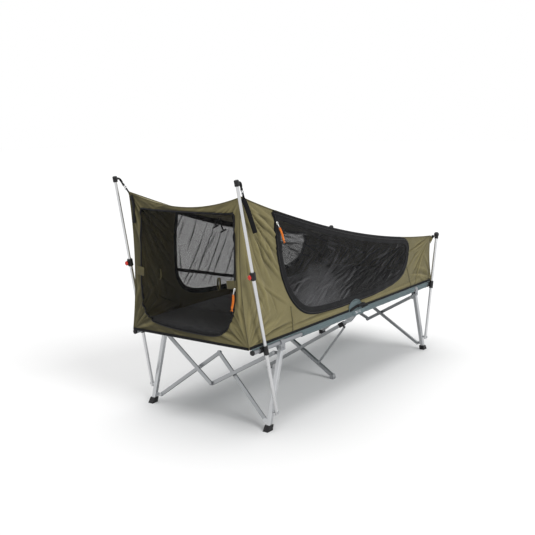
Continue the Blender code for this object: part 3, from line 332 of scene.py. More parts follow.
OLIVE = (0.176, 0.153, 0.071)
SLATE = (0.105, 0.142, 0.152)
BLACK = (0.008, 0.008, 0.009)
MATERIALS = {
    # Painted shade: the rails get a darker grey than the other tubes of the same aluminium.
    "tube_x": metal("aluminium_tube_x", (0.3, 0.31, 0.325), 0.36, X),
    "tube_z": metal("aluminium_tube_z", (0.5, 0.51, 0.52), 0.33, Z),
    "upright": metal("aluminium_upright", (0.6, 0.605, 0.612), 0.28, Z),
    "tube_y": metal("aluminium_tube_y", (0.34, 0.35, 0.36), 0.4, Y),
    "casting": cast_metal("aluminium_casting", (0.56, 0.575, 0.59), 0.45),
    "steel": metal("steel_fitting", (0.55, 0.55, 0.53), 0.3, X, 0.1),
    "black": plastic("black_plastic", BLACK, 0.46, 0.2),
    "red": plastic("red_plastic", (0.56, 0.03, 0.018), 0.35, 0.15),
    "orange": webbing("orange_tape", (1.0, 0.24, 0.035), Y, Z, 0.0016),
    "tape": webbing("black_webbing", BLACK, X, Z),
    "olive_xz": canvas("olive_canvas_side", OLIVE, (X, Z), folds=0.95),
    "olive_yz": canvas("olive_canvas_end", OLIVE, (Y, Z), folds=0.95),
    # The head panel's own copy of the end canvas takes more of the painted fold shade, so that its painted
    # shade can go darker.
    "olive_head": canvas("olive_canvas_head", OLIVE, (Y, Z), folds=1.4),
    "olive_xy": canvas("olive_canvas_roof", OLIVE, (X, Y), folds=0.6),
    "slate": canvas("slate_fabric", SLATE, (X, Y), 0.0009),
    "bed": canvas("mattress_fabric", (0.13, 0.131, 0.137), (X, Y), 0.0014, 0.25),
    "mesh_near": netting("black_mesh_near", (0.0095, 0.0095, 0.01), (X, Z), 0.77),
    "mesh_far": netting("black_mesh_far", (0.0115, 0.0115, 0.012), (X, Z), 0.66, 0.5),
    # The head door's netting gets a darker black than the side nettings: painted shade.
    "mesh_yz": netting("black_mesh_end", (0.0034, 0.0034, 0.0034), (Y, Z), 0.52),
}


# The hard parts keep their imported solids

BEVEL_ANGLE = radians(35)
SMALL_BEVEL = 0.0006


def dress(node, key):
    """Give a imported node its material, smooth round faces and small edge radii."""
    mesh = node.data
    mesh.materials.clear()
    mesh.materials.append(MATERIALS[key])
    for face in mesh.polygons:
        face.material_index = 0
        face.use_smooth = True
    bevel = node.modifiers.new("edge", "BEVEL")
    bevel.width, bevel.segments, bevel.limit_method = SMALL_BEVEL, 2, "ANGLE"
    bevel.angle_limit = BEVEL_ANGLE
    bevel.harden_normals = True


NODE_LOOKS = {
    "tube_x": ("rail_head", "rail_foot"),
    "tube_y": ("middle_leg", "strut"),
    "tube_z": ("leg_head", "leg_foot"),
    "upright": ("lower_tube", "upper_tube", "foot_upright"),
    "casting": ("centre_hinge",),
    "red": ("lock_button",),
    "black": (
        "leg_head_cap", "leg_foot_cap", "sleeve_head", "sleeve_foot", "lock_collar", "head_upright_cap",
        "foot_upright_cap", "collar",
    ),
}

for prefix in SIDE_NAMES.values():
    for key, names in NODE_LOOKS.items():
        for name in names:
            dress(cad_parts[f"{prefix}_{name}"], key)
    for name in ("head_hanging", "head_rising", "foot_hanging", "foot_rising"):
        dress(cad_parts[f"{name}_bar_{prefix}"], "tube_y")


# Mesh builders

TINY = 1e-12


def add_mesh(name, points, faces, key):
    """A smooth mesh object with its slot, from points written before the slide along X."""
    mesh = bpy.data.meshes.new(name)
    mesh.from_pydata([(p[0] + SHIFT, p[1], p[2]) for p in points], [], faces)
    mesh.update()
    mesh.materials.append(MATERIALS[key])
    for face in mesh.polygons:
        face.use_smooth = True
    made = linked(name, mesh)
    return made


def across_fold(piece):
    """A soft piece between the two sides: its place is written into its mesh."""
    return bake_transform(piece)


def hold(piece, body=None, replaced=None):
    """A piece rides on a body, or is shared across the fold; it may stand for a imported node."""
    if body:
        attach(piece, body)
    else:
        across_fold(piece)
    if replaced:
        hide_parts(replaced)
    return piece


def thickened(piece, thickness):
    """Give a thin piece two faces, written into its mesh."""
    wall = piece.modifiers.new("wall", "SOLIDIFY")
    wall.thickness, wall.offset = thickness, 0
    mesh = bpy.data.meshes.new_from_object(piece.evaluated_get(bpy.context.evaluated_depsgraph_get()))
    piece.modifiers.clear()
    piece.data = mesh
    return piece


def rework(piece, change):
    """Pass a piece's mesh through one bmesh step."""
    bm = bmesh.new()
    bm.from_mesh(piece.data)
    change(bm)
    bm.to_mesh(piece.data)
    bm.free()


def grid_faces(rows, width, first=0):
    """Quads between rows of points that lie one after another."""
    starts = [first + row * width + k for row in range(rows - 1) for k in range(width - 1)]
    return [(a, a + width, a + width + 1, a + 1) for a in starts]


def flipped(quads):
    """The same quads, seen from their other side."""
    return [(a, d, c, b) for a, b, c, d in quads]


def spread_points(xs, ys):
    """Every pair of an x and a y, as rows."""
    return np.array([(x, y) for x in xs for y in ys])


def tube(name, rings, key, closed=False):
    """A skin through rings of points, closed on itself or with a cap at each end."""
    count, length = len(rings[0]), len(rings)
    faces = []
    for n in range(length if closed else length - 1):
        here, there = n * count, (n + 1) % length * count
        for k in range(count):
            after = (k + 1) % count
            faces.append((here + k, here + after, there + after, there + k))
    if not closed:
        faces.append(tuple(reversed(range(count))))
        faces.append(tuple(range((length - 1) * count, length * count)))
    return add_mesh(name, [point for ring in rings for point in ring], faces, key)


def inside(points, outline):
    """For each 2-D point, whether it lies inside a closed outline."""
    found = np.zeros(len(points), bool)
    px, py = points[:, 0], points[:, 1]
    for (ax, ay), (bx, by) in zip(outline, np.roll(outline, -1, axis=0)):
        crosses = (ay > py) != (by > py)
        with np.errstate(divide="ignore", invalid="ignore"):
            at = (bx - ax) * (py - ay) / (by - ay) + ax
        found ^= crosses & (px < at)
    return found


def edge_distance(points, outline):
    """Distance of each 2-D point from a closed outline."""
    best = np.full(len(points), 1e9)
    for a, b in zip(outline, np.roll(outline, -1, axis=0)):
        run = b - a
        share = np.clip(((points - a) @ run) / max(run @ run, TINY), 0, 1)
        best = np.minimum(best, np.linalg.norm(points - a - share[:, None] * run, axis=1))
    return best


def smooth_step(value):
    value = np.clip(value, 0, 1)
    return value * value * (3 - 2 * value)


def resample(path, step, closed=False):
    """Points at even steps along a path of any dimension."""
    path = np.array(path, float)
    if closed:
        path = np.vstack([path, path[:1]])
    total = np.concatenate([[0], np.cumsum(np.linalg.norm(np.diff(path, axis=0), axis=1))])
    wanted = np.linspace(0, total[-1], max(2, int(round(total[-1] / step)) + 1))
    spread = np.array([np.interp(wanted, total, path[:, k]) for k in range(path.shape[1])]).T
    return spread[:-1] if closed else spread


def smooth_curve(points, steps=8):
    """A smooth curve through points of any dimension."""
    p = np.array(points, float)
    p = np.vstack([2 * p[0] - p[1], p, 2 * p[-1] - p[-2]])
    found = []
    for n in range(1, len(p) - 2):
        a, b, c, d = p[n - 1 : n + 3]
        for t in np.arange(steps) / steps:
            square, cube = (2 * a - 5 * b + 4 * c - d) * t**2, (3 * b - a - 3 * c + d) * t**3
            found.append(0.5 * (2 * b + (c - a) * t + square + cube))
    return np.array(found + [p[-2]])


def unit_rows(rows):
    return rows / (np.linalg.norm(rows, axis=1)[:, None] + TINY)


def directions(path, closed, reach=1):
    """Unit direction at each point of a path."""
    if closed:
        return unit_rows(np.roll(path, -reach, axis=0) - np.roll(path, reach, axis=0))
    return unit_rows(np.gradient(path, axis=0))


def left_of(run):
    """Unit directions in a plane, turned a quarter to the left."""
    return np.column_stack([-run[:, 1], run[:, 0]])


def twice_area(ring):
    """Twice the area inside a closed outline, under 0 where it runs clockwise."""
    ring = np.array(ring)
    return (ring[:, 0] * np.roll(ring[:, 1], -1) - np.roll(ring[:, 0], -1) * ring[:, 1]).sum()


ROW_SHARE = 0.866
EDGE_SHARE = 0.55


def cut_sheet(outline, holes, step):
    """Triangles that fill an outline less its holes: (2-D points, faces)."""
    rings = [resample(ring, step, True) for ring in (outline, *holes)]
    outline, holes = rings[0], rings[1:]
    low, high = outline.min(axis=0), outline.max(axis=0)
    rows = []
    for n, v in enumerate(np.arange(low[1], high[1], step * ROW_SHARE)):
        us = np.arange(low[0] + (n % 2) * step / 2, high[0], step)
        rows.append(np.column_stack([us, np.full(len(us), v)]))
    grid = np.vstack(rows)
    keep = inside(grid, outline) & (edge_distance(grid, outline) > step * EDGE_SHARE)
    for hole in holes:
        keep &= ~inside(grid, hole) & (edge_distance(grid, hole) > step * EDGE_SHARE)
    points, edges = [], []
    for ring in rings:
        first = len(points)
        points += [Vector(p) for p in ring]
        edges += [(first + n, first + (n + 1) % len(ring)) for n in range(len(ring))]
    points += [Vector(p) for p in grid[keep]]
    verts, _, faces, *_ = delaunay_2d_cdt(points, edges, [], 0, 1e-6)
    flat = np.array([tuple(v) for v in verts])
    middles = np.array([flat[list(face)].mean(axis=0) for face in faces])
    stay = inside(middles, outline)
    for hole in holes:
        stay &= ~inside(middles, hole)
    return flat, [face for face, ok in zip(faces, stay) if ok]


def crease_height(points, creases):
    """Sum of fold ridges. Each crease is (start, end, bow, width, height) in the sheet's plane."""
    total = np.zeros(len(points))
    for start, end, bow, width, height in creases:
        start, run = np.array(start, float), np.array(end, float) - np.array(start, float)
        length = np.linalg.norm(run)
        run = run / length
        side = np.array([-run[1], run[0]])
        along = ((points - start) @ run) / length
        body = np.clip(along, 0, 1)
        off = (points - start) @ side - bow * 4 * body * (1 - body)
        spread = width * (0.45 + 0.9 * body)
        level = np.where((along > 0) & (along < 1), np.sin(np.pi * body) ** 0.8, 0)
        ridge, hollow = np.exp(-((off / spread) ** 2)), np.exp(-(((off - 1.7 * spread) / spread) ** 2))
        total += height * level * (ridge - 0.45 * hollow)
    return total


def heading(angle):
    return np.array([cos(angle), sin(angle)])


def fan(origin, first, last, count, reach, width, height, seed):
    """Creases that spread from a corner between two directions, in degrees."""
    dice = random.Random(seed)
    found = []
    for n in range(count):
        angle = radians(first + (last - first) * (n + dice.uniform(0.15, 0.85)) / count)
        start, end = dice.uniform(0, 0.05), reach * dice.uniform(0.6, 1.1)
        ends = [np.array(origin) + heading(angle) * far for far in (start, end)]
        bow, wide = dice.uniform(-0.03, 0.03), width * dice.uniform(0.7, 1.3)
        found.append((*ends, bow, wide, height * dice.uniform(0.6, 1.15)))
    return found


def scatter(low, high, count, angle, turn, reach, width, height, seed):
    """Creases strewn over a box, near one direction, in degrees."""
    dice = random.Random(seed)
    found = []
    for _ in range(count):
        middle = np.array([dice.uniform(low[0], high[0]), dice.uniform(low[1], high[1])])
        way = radians(angle + dice.uniform(-turn, turn))
        half = reach * dice.uniform(0.4, 1.0) / 2
        step = heading(way) * half
        sign = dice.choice((1, 1, -1))
        bow, wide = dice.uniform(-0.12, 0.12) * half, width * dice.uniform(0.6, 1.3)
        found.append((middle - step, middle + step, bow, wide, sign * height * dice.uniform(0.5, 1.1)))
    return found


RIPPLE_WAVES = 7


def ripple(points, size, height, seed):
    """Soft, broad unevenness from a few crossed waves."""
    dice = random.Random(seed)
    total = np.zeros(len(points))
    for _ in range(RIPPLE_WAVES):
        way = dice.uniform(0, TURN)
        rate = TURN / (size * dice.uniform(0.6, 1.7))
        phase = dice.uniform(0, TURN)
        total += np.sin((points[:, 0] * cos(way) + points[:, 1] * sin(way)) * rate + phase)
    return total * height / 4


def sweep(name, path, section, key, normals=None, closed=False, taper=None):
    """A 2-D section (side, normal) carried along a 3-D path."""
    path = np.array(path, float)
    tangents = directions(path, closed)
    if normals is None:
        normals = np.empty_like(path)
        seed = np.array(Z if abs(tangents[0][2]) < 0.9 else X, float)
        for n, tangent in enumerate(tangents):
            seed = seed - tangent * (seed @ tangent)
            seed /= np.linalg.norm(seed)
            normals[n] = seed
    normals = np.array(normals, float) * np.ones_like(path)
    normals = unit_rows(normals - tangents * (normals * tangents).sum(axis=1)[:, None])
    sides = np.cross(normals, tangents)
    sizes = np.ones(len(path)) if taper is None else taper
    section = np.array(section, float)
    rings = [
        [spot + side * a + normal * b for a, b in section * size]
        for spot, side, normal, size in zip(path, sides, normals, sizes)
    ]
    return tube(name, rings, key, closed)


def round_section(radius, sides=8):
    turns = [TURN * k / sides for k in range(sides)]
    return [(radius * cos(turn), radius * sin(turn)) for turn in turns]


def flat_section(width, thickness):
    """A tape's section with soft edges."""
    a, b = width / 2, thickness / 2
    return [(-a, 0), (-a * 0.93, -b), (0, -b), (a * 0.93, -b), (a, 0), (a * 0.93, b), (0, b), (-a * 0.93, b)]


LEAST_RADIUS = 1e-5


def turned(name, profile, base, axis, key, body, sides):
    """A body of revolution: profile points are (radius, distance along the axis)."""
    axis = Vector(axis).normalized()
    one = axis.orthogonal().normalized()
    two = axis.cross(one)
    turns = [TURN * k / sides for k in range(sides)]
    spokes = [one * cos(turn) + two * sin(turn) for turn in turns]
    rings = []
    for radius, reach in profile:
        centre = Vector(base) + axis * reach
        rings.append([centre + spoke * max(radius, LEAST_RADIUS) for spoke in spokes])
    hold(tube(name, rings, key), body)


# The tent's surfaces

SHEET_STEP = 0.0072
HEAD_BOW, FOOT_BOW, BOW_REACH = 0.03, 0.012, 0.55
TOP_GAP = 0.004
TAPE_HOLD, HEM_HOLD = 0.034, 0.012
# A sewn edge holds this share of the folds' height, which grows to all of it over this reach.
EDGE_FOLDS, EDGE_REACH = 0.06, 0.03
# How far the cloths' folds may go in and out.
WALL_DEPTHS, NET_DEPTHS = (-0.014, 0.017), (-0.011, 0.008)
END_DEPTHS, HEAD_NET_DEPTHS, ROOF_DEPTHS = (-0.013, 0.015), (-0.012, 0.008), (-0.009, 0.01)
FOLD_DEPTH = 0.008


def edge_z(x):
    share = (x + TENT_X) / (2 * TENT_X)
    return TENT_HEAD_Z + (TENT_FOOT_Z - TENT_HEAD_Z) * share - 4 * EDGE_SAG * share * (1 - share)


def wall_y(z):
    return TENT_BOTTOM_Y - WALL_LEAN * (z - TENT_BOTTOM_Z)


def edge_bow(x, z):
    """How far the walls are drawn in between a corner's peak and the deck."""
    x, z = np.asarray(x, float), np.asarray(z, float)
    head = np.clip((z - TENT_BOTTOM_Z) / (TENT_HEAD_Z - TENT_BOTTOM_Z), 0, 1)
    foot = np.clip((z - TENT_BOTTOM_Z) / (TENT_FOOT_Z - TENT_BOTTOM_Z), 0, 1)
    near_head = smooth_step(1 - (x + TENT_X) / BOW_REACH)
    near_foot = smooth_step(1 - (TENT_X - x) / BOW_REACH)
    return HEAD_BOW * 4 * head * (1 - head) * near_head + FOOT_BOW * 4 * foot * (1 - foot) * near_foot


def end_half(z, end=None):
    """Half the width of an end panel at a height."""
    return wall_y(z) - (0 if end is None else edge_bow(end * TENT_X, z))


def end_top(y, end):
    """Height of an end panel's top edge."""
    top, sag = (TENT_HEAD_Z, HEAD_EDGE_SAG) if end == HEAD else (TENT_FOOT_Z, FOOT_EDGE_SAG)
    share = np.clip((np.asarray(y) / end_half(top) + 1) / 2, 0, 1)
    return top - 4 * sag * share * (1 - share)


WALL_OUTLINE = [(-TENT_X, TENT_BOTTOM_Z), (TENT_X, TENT_BOTTOM_Z)] + [
    (x, edge_z(x)) for x in np.linspace(TENT_X, -TENT_X, 60)
]


def door_ring(first_x, low, last_x):
    """A door's outline: its low curve between two points at the wall's top edge, closed along that edge."""
    first, last = ((x, edge_z(x) - TOP_GAP) for x in (first_x, last_x))
    low = smooth_curve([first, *low, last])
    across = np.linspace(low[-1][0], low[0][0], 52)[1:-1]
    return np.array(list(low) + [(x, edge_z(x) - TOP_GAP) for x in across])


DOOR_OUTLINES = {
    NEAR: door_ring(-0.79, [
        (-0.772, 1.115), (-0.768, 1.06), (-0.758, 0.98), (-0.742, 0.88), (-0.712, 0.77), (-0.664, 0.672),
        (-0.586, 0.592), (-0.478, 0.546), (-0.274, 0.526), (0.119, 0.52), (0.4, 0.536), (0.56, 0.562),
        (0.665, 0.62), (0.712, 0.7), (0.712, 0.762), (0.672, 0.806),
    ], 0.61),
    FAR: door_ring(-0.662, [
        (-0.688, 0.95), (-0.69, 0.76), (-0.65, 0.675), (-0.6, 0.635), (-0.52, 0.608), (-0.4, 0.593),
        (-0.2, 0.583), (0.05, 0.582), (0.28, 0.587), (0.42, 0.598), (0.53, 0.615), (0.608, 0.65),
        (0.656, 0.715), (0.67, 0.765),
    ], 0.63),
}

# The tent's four corners on a side wall, where its folds start.
PEAK, HEAD_LOW, FOOT_PEAK, FOOT_LOW = (-1.05, 1.245), (-1.05, 0.472), (1.05, 0.784), (1.05, 0.472)
WALL_CREASES = (
    fan(PEAK, -84, -40, 9, 0.54, 0.0062, 0.006, 3)
    + fan(PEAK, -82, -34, 9, 0.6, 0.0052, -0.0075, 61)
    + fan(HEAD_LOW, 16, 70, 6, 0.32, 0.0055, -0.0042, 62)
    + fan(FOOT_PEAK, 188, 236, 6, 0.4, 0.0058, -0.0055, 63)
    + fan(PEAK, -80, -30, 7, 0.36, 0.007, 0.005, 4)
    + fan(HEAD_LOW, 12, 74, 7, 0.3, 0.0075, 0.004, 5)
    + fan(FOOT_PEAK, 186, 232, 6, 0.34, 0.009, 0.006, 6)
    + fan(FOOT_LOW, 112, 168, 5, 0.26, 0.009, 0.005, 7)
    + scatter((-0.98, 0.56), (-0.78, 1.0), 9, 112, 16, 0.24, 0.008, 0.005, 10)
    + [
        ((-1.04, 1.23), (-0.785, 0.99), 0.02, 0.008, 0.008),
        ((-1.04, 1.225), (-0.765, 0.84), 0.03, 0.0075, 0.008),
        ((-1.04, 1.21), (-0.86, 0.8), 0.024, 0.0075, 0.005),
        ((-1.04, 1.19), (-0.97, 0.7), 0.016, 0.008, 0.005),
        ((-1.03, 1.203), (-0.77, 1.02), -0.006, 0.0058, -0.0125),
        ((-1.03, 1.19), (-0.75, 0.906), 0.008, 0.0058, -0.0125),
        ((-1.0, 1.11), (-0.74, 0.82), 0.006, 0.0058, -0.0115),
        ((-1.023, 1.152), (-0.856, 0.928), -0.005, 0.0062, -0.008),
        ((-0.99, 1.179), (-0.788, 1.084), 0.004, 0.0062, -0.007),
        ((-0.945, 0.983), (-0.725, 0.765), 0.006, 0.0062, -0.007),
        ((-0.922, 0.8), (-0.683, 0.629), -0.006, 0.0062, -0.006),
        ((-1.035, 0.485), (-0.72, 0.6), -0.012, 0.009, 0.0055),
        ((-1.03, 0.49), (-0.86, 0.72), 0.012, 0.009, 0.0045),
        ((-0.67, 0.62), (-0.664, 0.482), 0.004, 0.006, 0.005),
        ((-1.02, 0.478), (-0.64, 0.532), 0.014, 0.0062, -0.011),
        ((-0.8, 0.5), (-0.2, 0.512), 0.012, 0.0058, -0.007),
        ((-0.64, 0.5), (-0.14, 0.497), 0.006, 0.006, 0.005),
        ((-0.2, 0.488), (0.3, 0.502), -0.005, 0.006, 0.0045),
        ((0.15, 0.5), (0.95, 0.51), -0.006, 0.007, 0.005),
        ((0.72, 0.56), (1.03, 0.49), 0.01, 0.009, 0.007),
        ((0.74, 0.72), (1.04, 0.78), -0.012, 0.009, 0.007),
    ]
)
NET_FOLDS = {
    NEAR: scatter((-0.15, 0.57), (0.64, 0.81), 80, 18, 14, 0.24, 0.0055, 0.0068, 11)
    + scatter((-0.7, 0.58), (0.1, 0.84), 44, 24, 22, 0.22, 0.0055, 0.0055, 19)
    + scatter((-0.74, 0.82), (0.5, 1.04), 46, -20, 9, 0.32, 0.0055, 0.0066, 12)
    + scatter((-0.5, 0.58), (0.6, 0.78), 18, 52, 18, 0.14, 0.0055, 0.004, 14)
    + fan((-0.79, 1.16), -25, -15, 8, 0.66, 0.006, -0.0075, 67)
    + fan((0.66, 0.78), 186, 214, 8, 0.7, 0.0058, -0.007, 68),
    FAR: scatter((-0.66, 0.66), (0.2, 1.05), 12, 58, 10, 0.3, 0.0085, 0.005, 16)
    + scatter((-0.6, 0.6), (0.6, 0.8), 16, 40, 16, 0.3, 0.008, 0.005, 17)
    + [
        (start, end, bow, 0.0055, -0.0095) for start, end, bow in (
            ((-0.46, 1.11), (-0.6, 0.85), 0.004), ((-0.39, 1.02), (-0.62, 0.68), 0.006),
            ((-0.29, 1.03), (-0.54, 0.66), -0.006), ((-0.22, 1.01), (-0.46, 0.63), 0.005),
            ((-0.16, 0.97), (-0.4, 0.61), -0.004), ((-0.6, 1.11), (-0.685, 1.0), 0.002),
            ((-0.665, 0.9), (-0.655, 0.71), 0.002), ((-0.1, 0.92), (-0.25, 0.62), 0.003),
        )
    ],
}


def edge_hold(points, outline):
    """The share of a cloth's folds that is left towards its sewn edge."""
    away = edge_distance(points, np.array(outline))
    return EDGE_FOLDS + (1 - EDGE_FOLDS) * smooth_step(away / EDGE_REACH)


def wall_offset(points):
    """How far a side wall stands out of its plane, at 2-D points (x, z)."""
    raw = crease_height(points, WALL_CREASES) + ripple(points, 0.5, 0.004, 8)
    return np.clip(raw + ripple(points, 0.12, 0.0012, 9), *WALL_DEPTHS) * edge_hold(points, WALL_OUTLINE)


def on_wall(points, side, offset=None, lift=0.0):
    """3-D points on a side wall, or on its plane with another offset."""
    points = np.asarray(points, float)
    offset = wall_offset(points) if offset is None else offset
    out = wall_y(points[:, 1]) - edge_bow(points[:, 0], points[:, 1]) + offset + lift
    return np.column_stack([points[:, 0], side * out, points[:, 1]])


def wall_spot(x, z, side, lift):
    return on_wall([(x, z)], side, lift=lift)[0]


def shade_folds(piece, heights, depth=FOLD_DEPTH):
    """Keeps each vertex's fold height, which paints shade into the hollows and light onto the ridges."""
    layer = piece.data.attributes.new("fold", "FLOAT", "POINT")
    layer.data.foreach_set("value", np.clip(0.5 + np.asarray(heights) / (2 * depth), 0, 1))


def make_side(side):
    prefix, body, outline = SIDE_NAMES[side], BODIES[side], DOOR_OUTLINES[side]
    flat, faces = cut_sheet(WALL_OUTLINE, [outline], SHEET_STEP)
    wall = add_mesh(f"{prefix}_wall_cloth", on_wall(flat, side), faces, "olive_xz")
    # Painted shade: the wall grows darker towards the foot, on top of the painted shade and light of its
    # creases.
    painted_foot_shade = 0.0036 * smooth_step((flat[:, 0] - 0.1) / 0.8)
    shade_folds(wall, crease_height(flat, WALL_CREASES) - painted_foot_shade)
    hold(wall, body, f"{prefix}_wall")
    # The netting wrinkles on its own within its tape.
    flat, faces = cut_sheet(outline, [], SHEET_STEP)
    loose = smooth_step((edge_distance(flat, outline) - TAPE_HOLD) / 0.06)
    folds = crease_height(flat, NET_FOLDS[side])
    wrinkles = folds + ripple(flat, 0.09, 0.0016, 15) - 0.004 * loose
    offset = wall_offset(flat) + np.clip(wrinkles, *NET_DEPTHS) * loose
    door = add_mesh(f"{prefix}_door_netting", on_wall(flat, side, offset), faces, f"mesh_{prefix}")
    # Painted light and shade: the near door's netting is made paler at its low head corner, where the pad
    # shows behind it, and a little darker elsewhere.
    apart = np.linalg.norm((flat - np.array((-0.4, 0.6))) * (1, 1.5), axis=1)
    pale = 0.0075 * smooth_step(1 - apart / 0.5) - 0.0026 if side == NEAR else 0
    shade_folds(door, folds + pale, 0.007)
    hold(door, body, f"{prefix}_door")
    return wall, door


EDGE_HEIGHTS = {
    HEAD: np.linspace(TENT_BOTTOM_Z, TENT_HEAD_Z, 24),
    FOOT: np.linspace(TENT_BOTTOM_Z, TENT_FOOT_Z, 12),
}


def end_ring(end):
    """An end panel's outline as (y, z)."""
    heights = EDGE_HEIGHTS[end]
    rise = [(float(end_half(z, end)), z) for z in heights]
    top = [(y, float(end_top(y, end))) for y in np.linspace(1, -1, 40)[1:-1] * end_half(heights[-1])]
    return rise + top + [(-y, z) for y, z in reversed(rise)]


END_OUTLINES = {end: end_ring(end) for end in END_NAMES}
HEAD_DOOR = np.vstack([
    smooth_curve([
        (0.304, 1.163), (0.312, 1.05), (0.322, 0.88), (0.334, 0.72), (0.332, 0.65), (0.312, 0.587),
        (0.245, 0.535), (0.13, 0.517), (-0.05, 0.509), (-0.19, 0.513), (-0.262, 0.548), (-0.31, 0.63),
        (-0.33, 0.72), (-0.338, 0.86), (-0.341, 1.0), (-0.342, 1.166),
    ], 6),
    [(y, 1.162 - 0.006 * cos(y * 4)) for y in np.linspace(-0.3, 0.26, 10)],
])
END_CREASES = {
    HEAD: fan((0.389, 1.245), 188, 262, 9, 0.3, 0.0085, 0.006, 21)
    + fan((-0.389, 1.245), -82, -8, 10, 0.42, 0.009, 0.0075, 22)
    + fan((0.41, 0.475), 100, 172, 7, 0.3, 0.009, 0.008, 23)
    + fan((0.41, 0.475), 104, 168, 7, 0.34, 0.006, -0.0065, 64)
    + fan((-0.389, 1.245), -80, -20, 6, 0.5, 0.006, -0.006, 65)
    + fan((-0.41, 0.475), 12, 80, 6, 0.34, 0.0055, -0.005, 66)
    + fan((-0.41, 0.475), 8, 84, 9, 0.3, 0.008, 0.005, 24)
    + scatter((-0.37, 0.62), (-0.352, 1.05), 7, 96, 10, 0.2, 0.006, 0.004, 25)
    + scatter((-0.3, 1.178), (0.3, 1.2), 9, 172, 14, 0.16, 0.006, 0.004, 26)
    + scatter((-0.3, 0.484), (0.3, 0.5), 8, 6, 12, 0.16, 0.006, 0.004, 27)
    + [
        ((0.36, 1.22), (-0.3, 1.185), 0.03, 0.011, 0.007),
        ((-0.37, 1.12), (-0.366, 0.6), 0.008, 0.009, 0.009),
        ((0.39, 1.2), (0.345, 0.62), 0.008, 0.008, 0.006),
    ],
    FOOT: fan((0.4, 0.784), 190, 250, 6, 0.34, 0.009, 0.006, 31)
    + fan((-0.4, 0.784), -10, -70, 6, 0.34, 0.009, 0.006, 32)
    + fan((0.41, 0.472), 110, 172, 5, 0.3, 0.009, 0.006, 33)
    + fan((-0.41, 0.472), 8, 70, 5, 0.3, 0.009, 0.006, 34)
    + scatter((-0.3, 0.52), (0.3, 0.72), 8, 90, 40, 0.16, 0.008, 0.004, 35),
}
NET_CREASES = (
    scatter((-0.28, 0.6), (0.28, 1.12), 14, 112, 18, 0.4, 0.007, 0.005, 41)
    + scatter((-0.28, 0.54), (0.28, 0.72), 26, 28, 22, 0.26, 0.0065, 0.005, 42)
    + scatter((-0.28, 0.53), (0.28, 0.7), 12, 150, 16, 0.22, 0.0065, 0.0045, 43)
)
ROOF_CREASES = (
    fan((-1.05, 0.39), -60, -8, 6, 0.8, 0.02, 0.005, 51)
    + fan((-1.05, -0.39), 8, 60, 6, 0.8, 0.02, 0.005, 52)
    + fan((1.05, 0.4), 188, 240, 5, 0.6, 0.016, 0.004, 53)
    + fan((1.05, -0.4), 120, 172, 5, 0.6, 0.016, 0.004, 54)
)


def end_offset(points, end):
    """How far an end panel stands out of its plane, at 2-D points (y, z)."""
    raw = crease_height(points, END_CREASES[end]) + ripple(points, 0.4, 0.004, 28 + end)
    return np.clip(raw, *END_DEPTHS) * edge_hold(points, END_OUTLINES[end])


def on_end(points, end, offset=None, lift=0.0):
    """3-D points on an end panel, or on its plane with another offset."""
    points = np.asarray(points, float)
    offset = end_offset(points, end) if offset is None else offset
    return np.column_stack([end * (TENT_X + offset + lift), points[:, 0], points[:, 1]])


def end_spot(y, z, end, lift):
    return on_end([(y, z)], end, lift=lift)[0]


def make_ends():
    flat, faces = cut_sheet(END_OUTLINES[HEAD], [HEAD_DOOR], SHEET_STEP)
    panel = add_mesh("head_panel_cloth", on_end(flat, HEAD), faces, "olive_head")
    # Painted shade: the head panel is darkened a little all over and much more away from its near edge, most
    # of all low down, on top of the painted shade and light of its creases.
    low = 0.76 + 0.24 * smooth_step((1.2 - flat[:, 1]) / 0.6)
    shade = 0.0104 * smooth_step((flat[:, 0] + 0.36) / 0.3) * low + 0.001
    shade_folds(panel, crease_height(flat, END_CREASES[HEAD]) - shade, 0.012)
    hold(panel, replaced="head_panel")
    flat, faces = cut_sheet(HEAD_DOOR, [], SHEET_STEP)
    loose = smooth_step((edge_distance(flat, HEAD_DOOR) - HEM_HOLD) / 0.05)
    folds = crease_height(flat, NET_CREASES)
    wrinkles = folds + ripple(flat, 0.1, 0.0015, 44) - 0.006 * loose
    offset = end_offset(flat, HEAD) + np.clip(wrinkles, *HEAD_NET_DEPTHS) * loose
    door = add_mesh("head_door_netting", on_end(flat, HEAD, offset), faces, "mesh_yz")
    # Painted shade in the netting's crease hollows, and a little painted shade all over.
    shade_folds(door, folds * loose - 0.0008)
    hold(door, replaced="head_door")
    flat, faces = cut_sheet(END_OUTLINES[FOOT], [], SHEET_STEP)
    foot = add_mesh("foot_panel_cloth", on_end(flat, FOOT), faces, "olive_yz")
    # Painted shade in the crease hollows and painted light on the ridges.
    shade_folds(foot, crease_height(flat, END_CREASES[FOOT]))
    hold(foot, replaced="foot_panel")
    return panel, door, foot


def make_roof():
    """The roof hangs between all four top edges."""
    count_x, count_y = ((151, 61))
    x, v = spread_points(np.linspace(-TENT_X, TENT_X, count_x), np.linspace(-1, 1, count_y)).T
    share = (x + TENT_X) / (2 * TENT_X)
    top = edge_z(x)
    sag = ROOF_SAG + (HEAD_EDGE_SAG - ROOF_SAG) * (1 - smooth_step(share / 0.4))
    sag += (FOOT_EDGE_SAG - ROOF_SAG) * smooth_step((share - 0.7) / 0.3)
    y = v * wall_y(top)
    folds = crease_height(np.column_stack([x, y]), ROOF_CREASES)
    loose = smooth_step((1 - np.abs(v)) / 0.1) * smooth_step((TENT_X - np.abs(x)) / 0.05)
    z = top - sag * (1 - v**2) + np.clip(folds, *ROOF_DEPTHS) * loose
    roof = add_mesh("roof_cloth", np.column_stack([x, y, z]), grid_faces(count_x, count_y), "olive_xy")
    # Painted shade in the crease hollows and painted light on the ridges.
    shade_folds(roof, folds)
    return hold(roof, replaced="roof")


